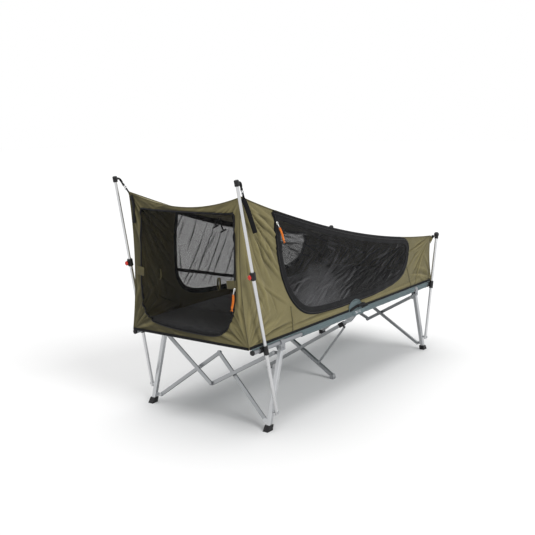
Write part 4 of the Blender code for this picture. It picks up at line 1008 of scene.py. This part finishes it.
walls = {side: make_side(side) for side in SIDE_NAMES}
head_cloth, head_net, foot_cloth = make_ends()
roof_cloth = make_roof()


# Deck and mattress

FINE = 0.01
SLEEVE_WALL, SLEEVE_TURNS = 0.0022, 22


def make_deck():
    """The bed sheet's flat field between the rails."""
    count_x, count_y = ((211, 41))
    ys = np.linspace(-TENT_BOTTOM_Y, TENT_BOTTOM_Y, count_y)
    flat = spread_points(np.linspace(-TENT_X, TENT_X, count_x), ys)
    z = (DECK_BOTTOM_Z + DECK_TOP_Z) / 2 - np.abs(ripple(flat, 0.3, 0.0004, 61))
    deck = add_mesh("deck_cloth", np.column_stack([flat, z]), grid_faces(count_x, count_y), "slate")
    return hold(deck, replaced="deck")


EDGE_SECTION = (
    (0.4, 0.4702), (0.4115, 0.4704), (0.4185, 0.4692), (0.4262, 0.4652), (0.4302, 0.461), (0.4318, 0.4575),
)


def make_edge_fold(side):
    """The deck's edge, turned down over the top of a rail from end to end."""
    xs = np.arange(-TENT_X + 0.012, TENT_X - 0.012, FINE)
    dice = random.Random(90 + side)
    waves = [(dice.uniform(20, 70), dice.uniform(0, 6)) for _ in range(4)]
    points = []
    for x in xs:
        drop = sum(sin(rate * x + phase) for rate, phase in waves) * 0.0003
        for k, (y, z) in enumerate(EDGE_SECTION):
            # Along the first part the rail stays bare.
            if x < HEM_SPANS[0][0]:
                y, z = min(y, 0.4215 + 0.0004 * k), max(z, 0.468 - 0.0004 * k)
            points.append((x, side * (y + drop * k / 5), z))
    fold = add_mesh(f"{SIDE_NAMES[side]}_deck_edge", points, grid_faces(len(xs), len(EDGE_SECTION)), "slate")
    hold(thickened(fold, 0.0008), BODIES[side])


def make_sleeve(side, number, start, end):
    """A hem of the deck's fabric round a rail, gathered a little between its seams."""
    count = max(4, int((end - start) / FINE))
    dice = random.Random(70 + number + side)
    marks = [
        (dice.uniform(start, end), dice.uniform(0.006, 0.014), dice.uniform(0.0006, 0.0016))
        for _ in range(int((end - start) / 0.05))
    ]
    points = []
    for i in range(count + 1):
        x = start + (end - start) * i / count
        wrinkle = sum(h * exp(-(((x - c) / w) ** 2)) for c, w, h in marks)
        for k in range(SLEEVE_TURNS):
            angle = radians(112 + 316 * k / (SLEEVE_TURNS - 1))
            slack = max(0, -sin(angle)) * (0.0012 + wrinkle) + 0.0004 * sin(angle * 5 + x * 40)
            radius = RAIL_RADIUS + SLEEVE_WALL * 0.5 + slack
            y = side * RAIL_Y + side * radius * cos(angle)
            points.append((x, y, RAIL_Z + radius * sin(angle)))
        points.append((x, side * (RAIL_Y - RAIL_RADIUS * 0.2), DECK_BOTTOM_Z))
    name = f"{SIDE_NAMES[side]}_sleeve_cloth_{number}"
    sleeve = add_mesh(name, points, grid_faces(count + 1, SLEEVE_TURNS + 1), "slate")
    hold(thickened(sleeve, 0.001), BODIES[side])


MATTRESS_X, MATTRESS_Y = 1.02, 0.385
MATTRESS_LOW, MATTRESS_HIGH = 0.4725, 0.532
MATTRESS_ROWS = (-0.68, -0.34, 0.0, 0.34, 0.68)
RIM_REACH, CHANNEL_WIDTH, CHANNEL_DEPTH = 0.032, 0.012, 0.2


def make_mattress():
    """A self-inflating mattress: a crowned pad with rounded sides and shallow cross channels."""
    count_x, count_y = ((221, 87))
    middle, half = (MATTRESS_LOW + MATTRESS_HIGH) / 2, (MATTRESS_HIGH - MATTRESS_LOW) / 2
    grid = spread_points(np.linspace(-1, 1, count_x), np.linspace(-1, 1, count_y))
    strewn = scatter((-0.95, -0.33), (0.95, 0.33), 60, 80, 50, 0.14, 0.009, 0.002, 81)
    puckers = crease_height(grid * (MATTRESS_X, MATTRESS_Y), strewn)
    points = []
    for layer, above in ((1, 1), (-1, 0)):
        for (u, v), pucker in zip(grid, puckers):
            # The rim is round: thickness falls to the seam as the edge nears.
            edge = min((1 - abs(u)) * MATTRESS_X, (1 - abs(v)) * MATTRESS_Y)
            body = sqrt(max(0, 1 - (1 - min(1, edge / RIM_REACH)) ** 2))
            channel = sum(exp(-(((u * MATTRESS_X - c) / CHANNEL_WIDTH) ** 2)) for c in MATTRESS_ROWS)
            lift = half * body * (1 - CHANNEL_DEPTH * channel * above) + pucker * body * above
            drawn = 0.006 * sin(u * 9) ** 2 * (1 - body)
            z = min(middle + layer * lift, MATTRESS_HIGH)
            points.append((u * (MATTRESS_X - 0.002), v * (MATTRESS_Y - 0.002 - drawn), z))
    faces = []
    for quad in grid_faces(count_x, count_y):
        faces += [quad, tuple(len(grid) + k for k in reversed(quad))]
    pad = add_mesh("mattress_pad", points, faces, "bed")
    rework(pad, lambda bm: bmesh.ops.remove_doubles(bm, verts=bm.verts, dist=1e-5))
    for face in pad.data.polygons:
        face.use_smooth = True
    hold(pad, replaced="mattress")
    x, y = MATTRESS_X - 0.001, MATTRESS_Y - 0.001
    rim = [(u * x, -y) for u in np.linspace(-1, 1, 60)] + [(x, v * y) for v in np.linspace(-1, 1, 24)[1:-1]]
    ring = [(turn * a, turn * b, middle) for turn in (1, -1) for a, b in rim]
    rod("mattress_piping", ring, 0.0025, "bed", closed=True)


# Tapes, bindings and seams

TAPE_THICK, TAPE_STEP, TAPE_BEVEL = 0.0014, 0.009, 0.35
TAPE_ROWS = (-0.5, -0.46, -0.2, 0.2, 0.46, 0.5)


def rod(name, path, radius, key, body=None, sides=8, **how):
    """A round cord, bar or seam along a path."""
    return hold(sweep(name, path, round_section(radius, sides), key, **how), body)


def band(name, path, width, thickness, key, body=None, **how):
    """A flat strip along a path."""
    return hold(sweep(name, path, flat_section(width, thickness), key, **how), body)


def laid(name, path, width, place, lift, key="tape", closed=False, thick=TAPE_THICK):
    """A tape that lies on a cloth: every point across it takes the cloth's own height."""
    path = resample(path, TAPE_STEP, closed)
    across = left_of(directions(path, closed))
    rows = [path + across * width * share for share in TAPE_ROWS]
    tops = (TAPE_BEVEL, 1, 1, 1, 1, TAPE_BEVEL)
    skin = [place(row, lift=lift + thick * top) for row, top in zip(rows, tops)]
    skin += [place(row, lift=lift) for row in reversed(rows)]
    tape = tube(name, list(zip(*skin)), key, closed)
    rework(tape, lambda bm: bmesh.ops.recalc_face_normals(bm, faces=bm.faces))
    return tape


def wall_tape(name, points, side, width, lift, **how):
    """A tape on a side wall; a lift under 0 puts it on the inner face."""
    return hold(laid(name, points, width, partial(on_wall, side=side), lift, **how), BODIES[side])


def end_tape(name, points, end, width, lift, **how):
    return hold(laid(name, points, width, partial(on_end, end=end), lift, **how))


def inset(outline, distance):
    """A closed outline moved inwards, along the normals of its smoothed line."""
    ring = resample(outline, 0.012, True)
    turn = 1 if twice_area(ring) > 0 else -1
    return ring + left_of(directions(ring, True, 2)) * turn * distance


def below_ridge(ring, gap):
    """Keeps a side wall's outline under its top edge."""
    ring[:, 1] = np.minimum(ring[:, 1], edge_z(ring[:, 0]) - gap)
    return ring


def corner_seam(side, end):
    """The seam between a side wall and an end panel."""
    corner = on_wall([(end * TENT_X, z) for z in EDGE_HEIGHTS[end]], side, 0)
    corner[:, 0] = end * (TENT_X + 0.0005)
    name = f"{SIDE_NAMES[side]}_{END_NAMES[end]}_corner_seam"
    return rod(name, resample(corner, 0.02), 0.0024, "olive_xz", BODIES[side])


def side_trim(side):
    """Zip tape, zip coil, bindings and seams of a side wall."""
    prefix, body, outline = SIDE_NAMES[side], BODIES[side], DOOR_OUTLINES[side]
    near = side == NEAR
    middle = below_ridge(inset(outline, 0.014 if near else -0.01), 0.018)
    flat = below_ridge(inset(outline, 0.003 if near else -0.004), 0.014)
    inner = below_ridge(inset(outline, 0.006 if near else -0.012), 0.016)
    facing = {"normals": (0, side, 0), "closed": True}
    bottom = [(end * (TENT_X - 0.004), TENT_BOTTOM_Z + 0.004) for end in END_NAMES]
    made = [
        wall_tape(f"{prefix}_zip_tape", middle, side, 0.044 if near else 0.03, 0.0009, closed=True),
        rod(f"{prefix}_zip_coil", on_wall(flat, side, lift=0.0034), 0.0021, "black", body, 6, **facing),
        wall_tape(f"{prefix}_inner_tape", inner, side, 0.03 if near else 0.026, -0.0024, closed=True),
        wall_tape(f"{prefix}_bottom_binding", bottom, side, 0.016, 0.0012),
    ]
    made += [corner_seam(side, end) for end in END_NAMES]
    low, high = outline[:, 0].min(), outline[:, 0].max() - 0.1
    hems = ((-TENT_X, low, "olive_xz"), (low, high, "tape"), (high, TENT_X, "olive_xz"))
    for number, (start, end, key) in enumerate(hems):
        top = [(x, edge_z(x)) for x in np.linspace(start, end, 40)]
        made.append(rod(f"{prefix}_ridge_hem_{number}", on_wall(top, side, 0), 0.0035, key, body))
    for number, ends in enumerate((((-0.664, 0.62), (-0.662, 0.48)), ((0.69, 0.62), (0.735, 0.48)))):
        name = f"{prefix}_panel_seam_{number}"
        made.append(wall_tape(name, ends, side, 0.009, 0.0009, key="olive_xz", thick=0.0012))
    return made


def end_trim():
    """Binding of the head door, its zip coil, edge piping and the hem of both end panels."""
    end_tape("head_door_binding", inset(HEAD_DOOR, 0.003), HEAD, 0.011, 0.0014, closed=True)
    coil = on_end(inset(HEAD_DOOR, 0.001), HEAD, lift=0.003)
    rod("head_zip_coil", coil, 0.002, "black", sides=6, normals=(HEAD, 0, 0), closed=True)
    for end, name in END_NAMES.items():
        bottom = [(side * TENT_BOTTOM_Y, TENT_BOTTOM_Z + 0.003) for side in SIDE_NAMES]
        end_tape(f"{name}_bottom_binding", bottom, end, 0.015, 0.0012)
        ys = np.linspace(-1, 1, 60) * float(end_half(EDGE_HEIGHTS[end][-1]))
        top = on_end(np.column_stack([ys, end_top(ys, end)]), end, np.zeros(len(ys)))
        rod(f"{name}_top_hem", top, 0.0032, "olive_yz")


deck_cloth = make_deck()
for side in SIDE_NAMES:
    make_edge_fold(side)
for side in SIDE_NAMES:
    for number, span in enumerate(HEM_SPANS):
        make_sleeve(side, number, *span)
make_mattress()
side_trims = {side: side_trim(side) for side in SIDE_NAMES}
end_trim()


# Straps, pulls, loops and tabs


def unit(vector):
    return vector / np.linalg.norm(vector)


def torus(name, centre, normal, radius, wire, key, body, squeeze=1.0):
    """A wire ring, drawn long along its own first axis by squeeze."""
    normal = unit(np.array(normal, float))
    first = unit(np.cross(normal, Y if abs(normal[1]) < 0.9 else X))
    second = np.cross(normal, first)
    turns = [TURN * k / RING_SIDES for k in range(RING_SIDES)]
    path = [centre + first * radius * squeeze * cos(t) + second * radius * sin(t) for t in turns]
    rod(name, path, wire, key, body, normals=normal, closed=True)


def strap(name, path, width, thickness, normals, body, key="tape", step=0.006):
    path = smooth_curve(path) if len(path) > 2 else path
    return band(name, resample(path, step), width, thickness, key, body, normals=normals)


def between(a, b, share):
    return np.array(a) + (np.array(b) - np.array(a)) * share


# Profiles of the turned pieces: (radius, distance along the axis).
HOOK_PROFILE = (
    (0, 0), (0.0042, 0.0006), (0.0058, 0.003), (0.0052, 0.007), (0.0066, 0.009), (0.0064, 0.0155),
    (0.0042, 0.0178), (0, 0.018),
)
KNOT_PROFILE = (
    (0, 0), (0.0035, 0.0007), (0.0055, 0.003), (0.0058, 0.006), (0.0045, 0.009), (0.0026, 0.0105), (0, 0.011),
)
DOME_PROFILE = (
    (0, -0.002), (0.0132, 0), (0.0168, 0.006), (0.0176, 0.014), (0.015, 0.022), (0.0085, 0.0278), (0, 0.029),
)
KNOB_PROFILE = ((0, 0), (0.0045, 0.0004), (0.006, 0.004), (0.0058, 0.0085), (0.003, 0.011), (0, 0.0114))
PLUG_PROFILE = (
    (0.0128, 0), (0.0138, 0.0008), (0.014, 0.006), (0.0138, 0.0072), (0.0118, 0.0092), (0.006, 0.0104),
    (0, 0.0106),
)
# The straps' loose tails: points in space on the near side, and (y, z) on the head panel on the far side.
NEAR_TAIL = (
    (-1.0455, -0.3965, 1.238), (-1.034, -0.408, 1.2), (-1.009, -0.4145, 1.13), (-0.981, -0.418, 1.06),
)
FAR_TAIL = ((0.372, 1.226), (0.36, 1.19), (0.357, 1.13), (0.356, 1.076))
EAR_ROWS = 8
BUCKLE_LIFT = 0.0135
STRANDS, BRAID_TURNS, BRAID_POINTS = 3, 5, 64
RING_SIDES = 28


def make_head_strap(side):
    """Cap to peak: a webbing loop, a snap hook and a ring, and below the peak the strap's loose tail."""
    prefix, cap, tent = SIDE_NAMES[side], f"{SIDE_NAMES[side]}_head_upper", BODIES[side]
    ear = np.array((-1.0935, side * 0.4185, 1.3245))
    peak = np.array((-1.0415, side * 0.3985, 1.2405))
    run = unit(peak - ear)
    flat = unit(np.cross(run, Y))
    low = between(ear, peak, 0.36)
    web = strap(f"{prefix}_strap_webbing", [ear, low], 0.013, 0.0034, flat, cap)
    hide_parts(f"{prefix}_head_strap")
    lifts = ((0.06, 0.0026), (0.18, 0.0042), (0.31, 0.003))
    fold = [between(ear, peak, share) + flat * lift for share, lift in lifts]
    strap(f"{prefix}_strap_fold", fold, 0.0125, 0.0022, flat, cap)
    hook = low - run * 0.002
    turned(f"{prefix}_hook_body", HOOK_PROFILE, hook, run, "black", cap, 18)
    centre = hook + run * 0.0235
    torus(f"{prefix}_hook_ring", centre, flat, 0.0062, 0.0015, "black", cap, 1.25)
    torus(f"{prefix}_peak_ring", centre + run * 0.012, Y, 0.0078, 0.0014, "casting", cap, 1.3)
    tab = [centre + run * 0.013 + flat * 0.001, peak, peak + np.array((0.004, 0, -0.012))]
    strap(f"{prefix}_peak_tab", tab, 0.013, 0.0024, flat, tent)
    tail, facing = NEAR_TAIL, (-0.72, -0.69, 0)
    if side == FAR:
        tail, facing = [end_spot(y, z, HEAD, 0.004) for y, z in FAR_TAIL], (-1, 0.1, 0)
    strap(f"{prefix}_strap_tail", tail, 0.024, 0.0018, facing, tent, step=0.01)


def make_pull(name, replaced, top, tip, facing):
    """A zip slider with its puller, and a braided cord pull with a knot and a loose end."""
    top, tip, facing = (np.array(spot, float) for spot in (top, tip, facing))
    length = np.linalg.norm(tip - top)
    run = (tip - top) / length
    side = np.cross(facing, run)
    start = length * 0.26
    reach = (length - start) * 0.86
    cloth = None if facing[0] else "near_side"
    slider = [top + facing * 0.002 - run * 0.008, top + facing * 0.0024 + run * 0.008]
    band(f"{name}_slider", slider, 0.0105, 0.0062, "steel", cloth, normals=facing)
    torus(f"{name}_bail", top + facing * 0.0062, np.cross(run, facing), 0.0042, 0.001, "steel", name)
    plate = [top + run * 0.003 + facing * 0.0074, top + run * (start + 0.002) + facing * 0.0095]
    band(f"{name}_puller", plate, 0.0062, 0.0018, "steel", name, normals=facing)
    for strand in range(STRANDS):
        path = []
        for k in range(BRAID_POINTS):
            share = k / (BRAID_POINTS - 1)
            turn = share * TURN * BRAID_TURNS + strand * TURN / STRANDS
            out = side * 0.0044 * sin(turn) + facing * (0.0095 + 0.0014 * sin(2 * turn))
            sway = side * 0.003 * sin(share * 3.4)
            path.append(top + run * (start + reach * share) + out + sway)
        cord = rod(f"{name}_strand_{strand}", path, 0.0027, "orange", name, 7)
        if strand == 0:
            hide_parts(replaced)
    knot = top + run * (start + reach) + facing * 0.0095
    turned(f"{name}_knot", KNOT_PROFILE, knot - run * 0.003, run, "orange", name, 14)
    for strand, lean in enumerate((-0.3, 0.3)):
        steps = ((0.006, 0), (0.012, 0.008), (0.02, 0.018))
        end = [knot + run * down + side * lean * out for down, out in steps]
        rod(f"{name}_end_{strand}", smooth_curve(end), 0.0021, "orange", name, 7)


def make_tie_loop(name, top, low):
    """An olive tie loop that hangs inside the head door's netting."""
    (y0, z0), (y1, z1) = top, low
    path = []
    for k in range(30):
        turn = TURN * k / 29
        share = (1 - cos(turn)) / 2
        y = y0 + (y1 - y0) * share + 0.012 * sin(turn)
        path.append((-TENT_X + 0.012 + 0.004 * sin(turn), y, z0 + (z1 - z0) * share))
    band(name, path, 0.011, 0.0016, "olive_yz")


def make_head_details():
    """Tie loops, tabs and toggles at the head door."""
    make_tie_loop("head_tie_loop_0", (0.192, 0.834), (0.195, 0.776))
    make_tie_loop("head_tie_loop_1", (-0.219, 0.824), (-0.216, 0.758))
    tabs = ((0.352, 0.3, 0.839, 0.79), (-0.343, -0.284, 0.821, 0.778))
    for number, (outer, inner, top, low) in enumerate(tabs):
        z = (top + low) / 2
        spots = ((outer, z + 0.003, 0.0042), ((outer + inner) / 2, z, 0.0055), (inner, z - 0.003, 0.006))
        ends = [end_spot(y, height, HEAD, lift) for y, height, lift in spots]
        strap(f"head_tab_{number}", ends, top - low, 0.0024, (-1, 0, 0), None, "olive_yz")
    toggles = ((-0.224, 1.13, -0.204, 1.086), (-0.236, 1.13, -0.254, 1.068))
    for number, (y0, z0, y1, z1) in enumerate(toggles):
        path = [(-1.03, y0, z0), (-1.028, (y0 + y1) / 2 + 0.008, (z0 + z1) / 2), (-1.03, y1, z1)]
        strap(f"head_toggle_cord_{number}", path, 0.009, 0.002, (-1, 0, 0), None, step=0.004)
        bar = [(-1.032, y1 - 0.017, z1 + 0.008), (-1.032, y1 + 0.017, z1 - 0.008)]
        rod(f"head_toggle_{number}", bar, 0.0046, "black", sides=10)


FLAP_X, FLAP_Z, FLAP_RADIUS, FLAP_SQUASH = 0.005, 0.47, 0.082, 0.74
FLAP_RINGS, FLAP_TURNS = 10, 26


def make_hinge_flap(side):
    """A slate flap over the hinge, lapped on the wall, with a tuck strap and a ladder buckle."""
    prefix, body, facing = SIDE_NAMES[side], BODIES[side], (0, side, 0)
    points = []
    for r in range(FLAP_RINGS + 1):
        reach = FLAP_RADIUS * r / FLAP_RINGS
        for t in range(FLAP_TURNS + 1):
            angle = pi * t / FLAP_TURNS
            lift = 0.0036 + 0.0012 * (1 - r / FLAP_RINGS) + 0.0007 * sin(angle * 6) * r / FLAP_RINGS
            x, z = FLAP_X + reach * cos(angle), FLAP_Z + reach * sin(angle) * FLAP_SQUASH
            points.append(wall_spot(x, z, side, lift))
    # The lower half laps over the rail and hangs a little past it.
    drop = [(0.4185, 0.4692), (0.4262, 0.4672), (0.4325, 0.4605), (0.4348, 0.452), (0.4345, 0.443)]
    faces = grid_faces(FLAP_RINGS + 1, FLAP_TURNS + 1) + flipped(grid_faces(len(drop), 16, len(points)))
    for k, (y, z) in enumerate(drop):
        for u in np.linspace(-1, 1, 16):
            points.append((FLAP_X + u * FLAP_RADIUS * (1 - 0.09 * k), side * y, z - 0.004 * abs(u) * k / 4))
    hold(thickened(add_mesh(f"{prefix}_hinge_flap", points, faces, "slate"), 0.0012), body)
    rim = []
    for a in np.linspace(0, pi, 36):
        z = FLAP_Z + FLAP_RADIUS * FLAP_SQUASH * sin(a)
        rim.append(wall_spot(FLAP_X + FLAP_RADIUS * cos(a), z, side, 0.0046))
    rod(f"{prefix}_flap_binding", rim, 0.0018, "slate", body, 6, normals=facing)
    tuck = [(-0.07, 0.474), (-0.02, 0.484), (0.03, 0.49), (0.085, 0.484), (0.142, 0.475)]
    path = [wall_spot(x, z, side, 0.0075 + 0.003 * exp(-(((x - 0.05) / 0.04) ** 2))) for x, z in tuck]
    strap(f"{prefix}_hinge_strap", path, 0.019, 0.0026, facing, body)
    loop = [wall_spot(x, z, side, 0.0115) for x, z in ((0.02, 0.487), (0.06, 0.492), (0.1, 0.484))]
    strap(f"{prefix}_hinge_strap_end", loop, 0.019, 0.0024, facing, body)
    xs = (0.062, 0.074, 0.086, 0.098)
    bars = [(f"bar_{n}", (x, 0.47), (x + 0.002, 0.498), 0.0022) for n, x in enumerate(xs)]
    bars += [(f"rail_{n}", (0.06, z), (0.1, z), 0.0024) for n, z in enumerate((0.47, 0.498))]
    for name, start, end, radius in bars:
        ends = [wall_spot(*spot, side, BUCKLE_LIFT) for spot in (start, end)]
        rod(f"{prefix}_buckle_{name}", ends, radius, "black", body)


def make_foot_tie(side):
    """The webbing tab, the cloth ear, the dome and the knob at a foot cap."""
    prefix, body = SIDE_NAMES[side], BODIES[side]
    path = [(1.055, side * 0.4115, 0.779), (1.061, side * 0.418, 0.7795), (1.067, side * 0.424, 0.78)]
    path = resample(path, 0.003)
    taper = np.linspace(0.8, 0.5, len(path))
    band(f"{prefix}_foot_tie", path, 0.03, 0.003, "tape", body, normals=(0, side, 0.25), taper=taper)
    # The wall's own cloth runs out to the cap in a small ear.
    foot, tip, low = (1.048, 0.4005, 0.783), (1.064, 0.4235, 0.781), (1.049, 0.4035, 0.727)
    shares = np.linspace(0, 1, EAR_ROWS)
    rows = [between(foot, tip, share) for share in shares]
    rows += [between(low, tip, share ** 0.8) for share in shares]
    rows[-1] = (tip[0], tip[1], tip[2] - 0.004)
    points = [(x, side * y, z) for x, y, z in rows]
    ear = add_mesh(f"{prefix}_foot_ear", points, flipped(grid_faces(2, EAR_ROWS)), "olive_xz")
    shade_folds(ear, np.zeros(len(points)))
    hold(ear, body)
    turned(f"{prefix}_foot_dome", DOME_PROFILE, (1.083, side * 0.4335, 0.78), Z, "black", body, 22)
    way = (0.961, side * 0.2, -0.275)
    turned(f"{prefix}_foot_knob", KNOB_PROFILE, (1.0165, side * 0.431, 0.5255), way, "black", body, 16)


def make_button_cover(side):
    """The lock button's broad red thumb pad."""
    press, rise = np.array((0.9819, 0, 0.1897)), (-0.1897, 0, 0.9819)
    centre = np.array((-1.0576, side * 0.432, 0.8466))
    slab = [centre + press * 0.0042, centre + press * 0.0014, centre - press * 0.0026, centre - press * 0.004]
    turns = np.linspace(0, TURN, 25)[:-1]
    outline = [(0.0085 * cos(t) * (1 + 0.12 * cos(2 * t)), 0.0125 * sin(t)) for t in turns]
    name = f"{SIDE_NAMES[side]}_button"
    hold(sweep(f"{name}_pad", slab, outline, "red", normals=rise, taper=(0.96, 1, 0.97, 0.84)), name)


def make_cross_strap():
    """A webbing strap along the inside of the far window."""
    far = [(-0.715, 0.762), (-0.6, 0.734), (-0.483, 0.707), (-0.294, 0.659), (-0.134, 0.623), (0.08, 0.575)]
    path = [(x, wall_y(z) - 0.014 - 0.004 * sin(x * 9), z) for x, z in far]
    strap("far_cross_strap", path, 0.02, 0.002, (0, -1, 0), "far_side", step=0.012)


def make_end_plug(side, end):
    """A black plug in a rail's open end."""
    base = (end * 1.029, side * RAIL_Y, RAIL_Z)
    name = f"{SIDE_NAMES[side]}_{END_NAMES[end]}_rail_plug"
    turned(name, PLUG_PROFILE, base, (end, 0, 0), "black", BODIES[side], 24)


for side in SIDE_NAMES:
    make_head_strap(side)
    make_hinge_flap(side)
    make_foot_tie(side)
make_head_details()
make_pull("near_pull", "near_door_pull", (-0.766, -0.3945, 1.084), (-0.735, -0.4085, 0.986), (0, -1, 0))
make_pull("head_pull", "head_door_pull", (-1.054, -0.334, 0.776), (-1.058, -0.322, 0.674), (-1, 0, 0))
for side in SIDE_NAMES:
    make_button_cover(side)
    for end in END_NAMES:
        make_end_plug(side, end)
make_cross_strap()


# What each cloth is cut from

LEAST_CUT_SHARE = 0.3


def declare(outline, hole=None):
    """Works out how wide and long the cloth is that an outline is cut from, and its area, and keeps none of
    them.
    """
    ring = np.array(outline)
    width, length = (float(v) for v in ring.max(axis=0) - ring.min(axis=0))
    area = abs(twice_area(outline)) / 2 - (0 if hole is None else abs(twice_area(hole)) / 2)
    # A cut with a large opening still has its hems.
    area = max(area, LEAST_CUT_SHARE * width * length)


for side, prefix in SIDE_NAMES.items():
    declare(WALL_OUTLINE, DOOR_OUTLINES[side])
    declare(DOOR_OUTLINES[side])
declare(END_OUTLINES[HEAD], HEAD_DOOR)
declare(HEAD_DOOR)
declare(END_OUTLINES[FOOT])
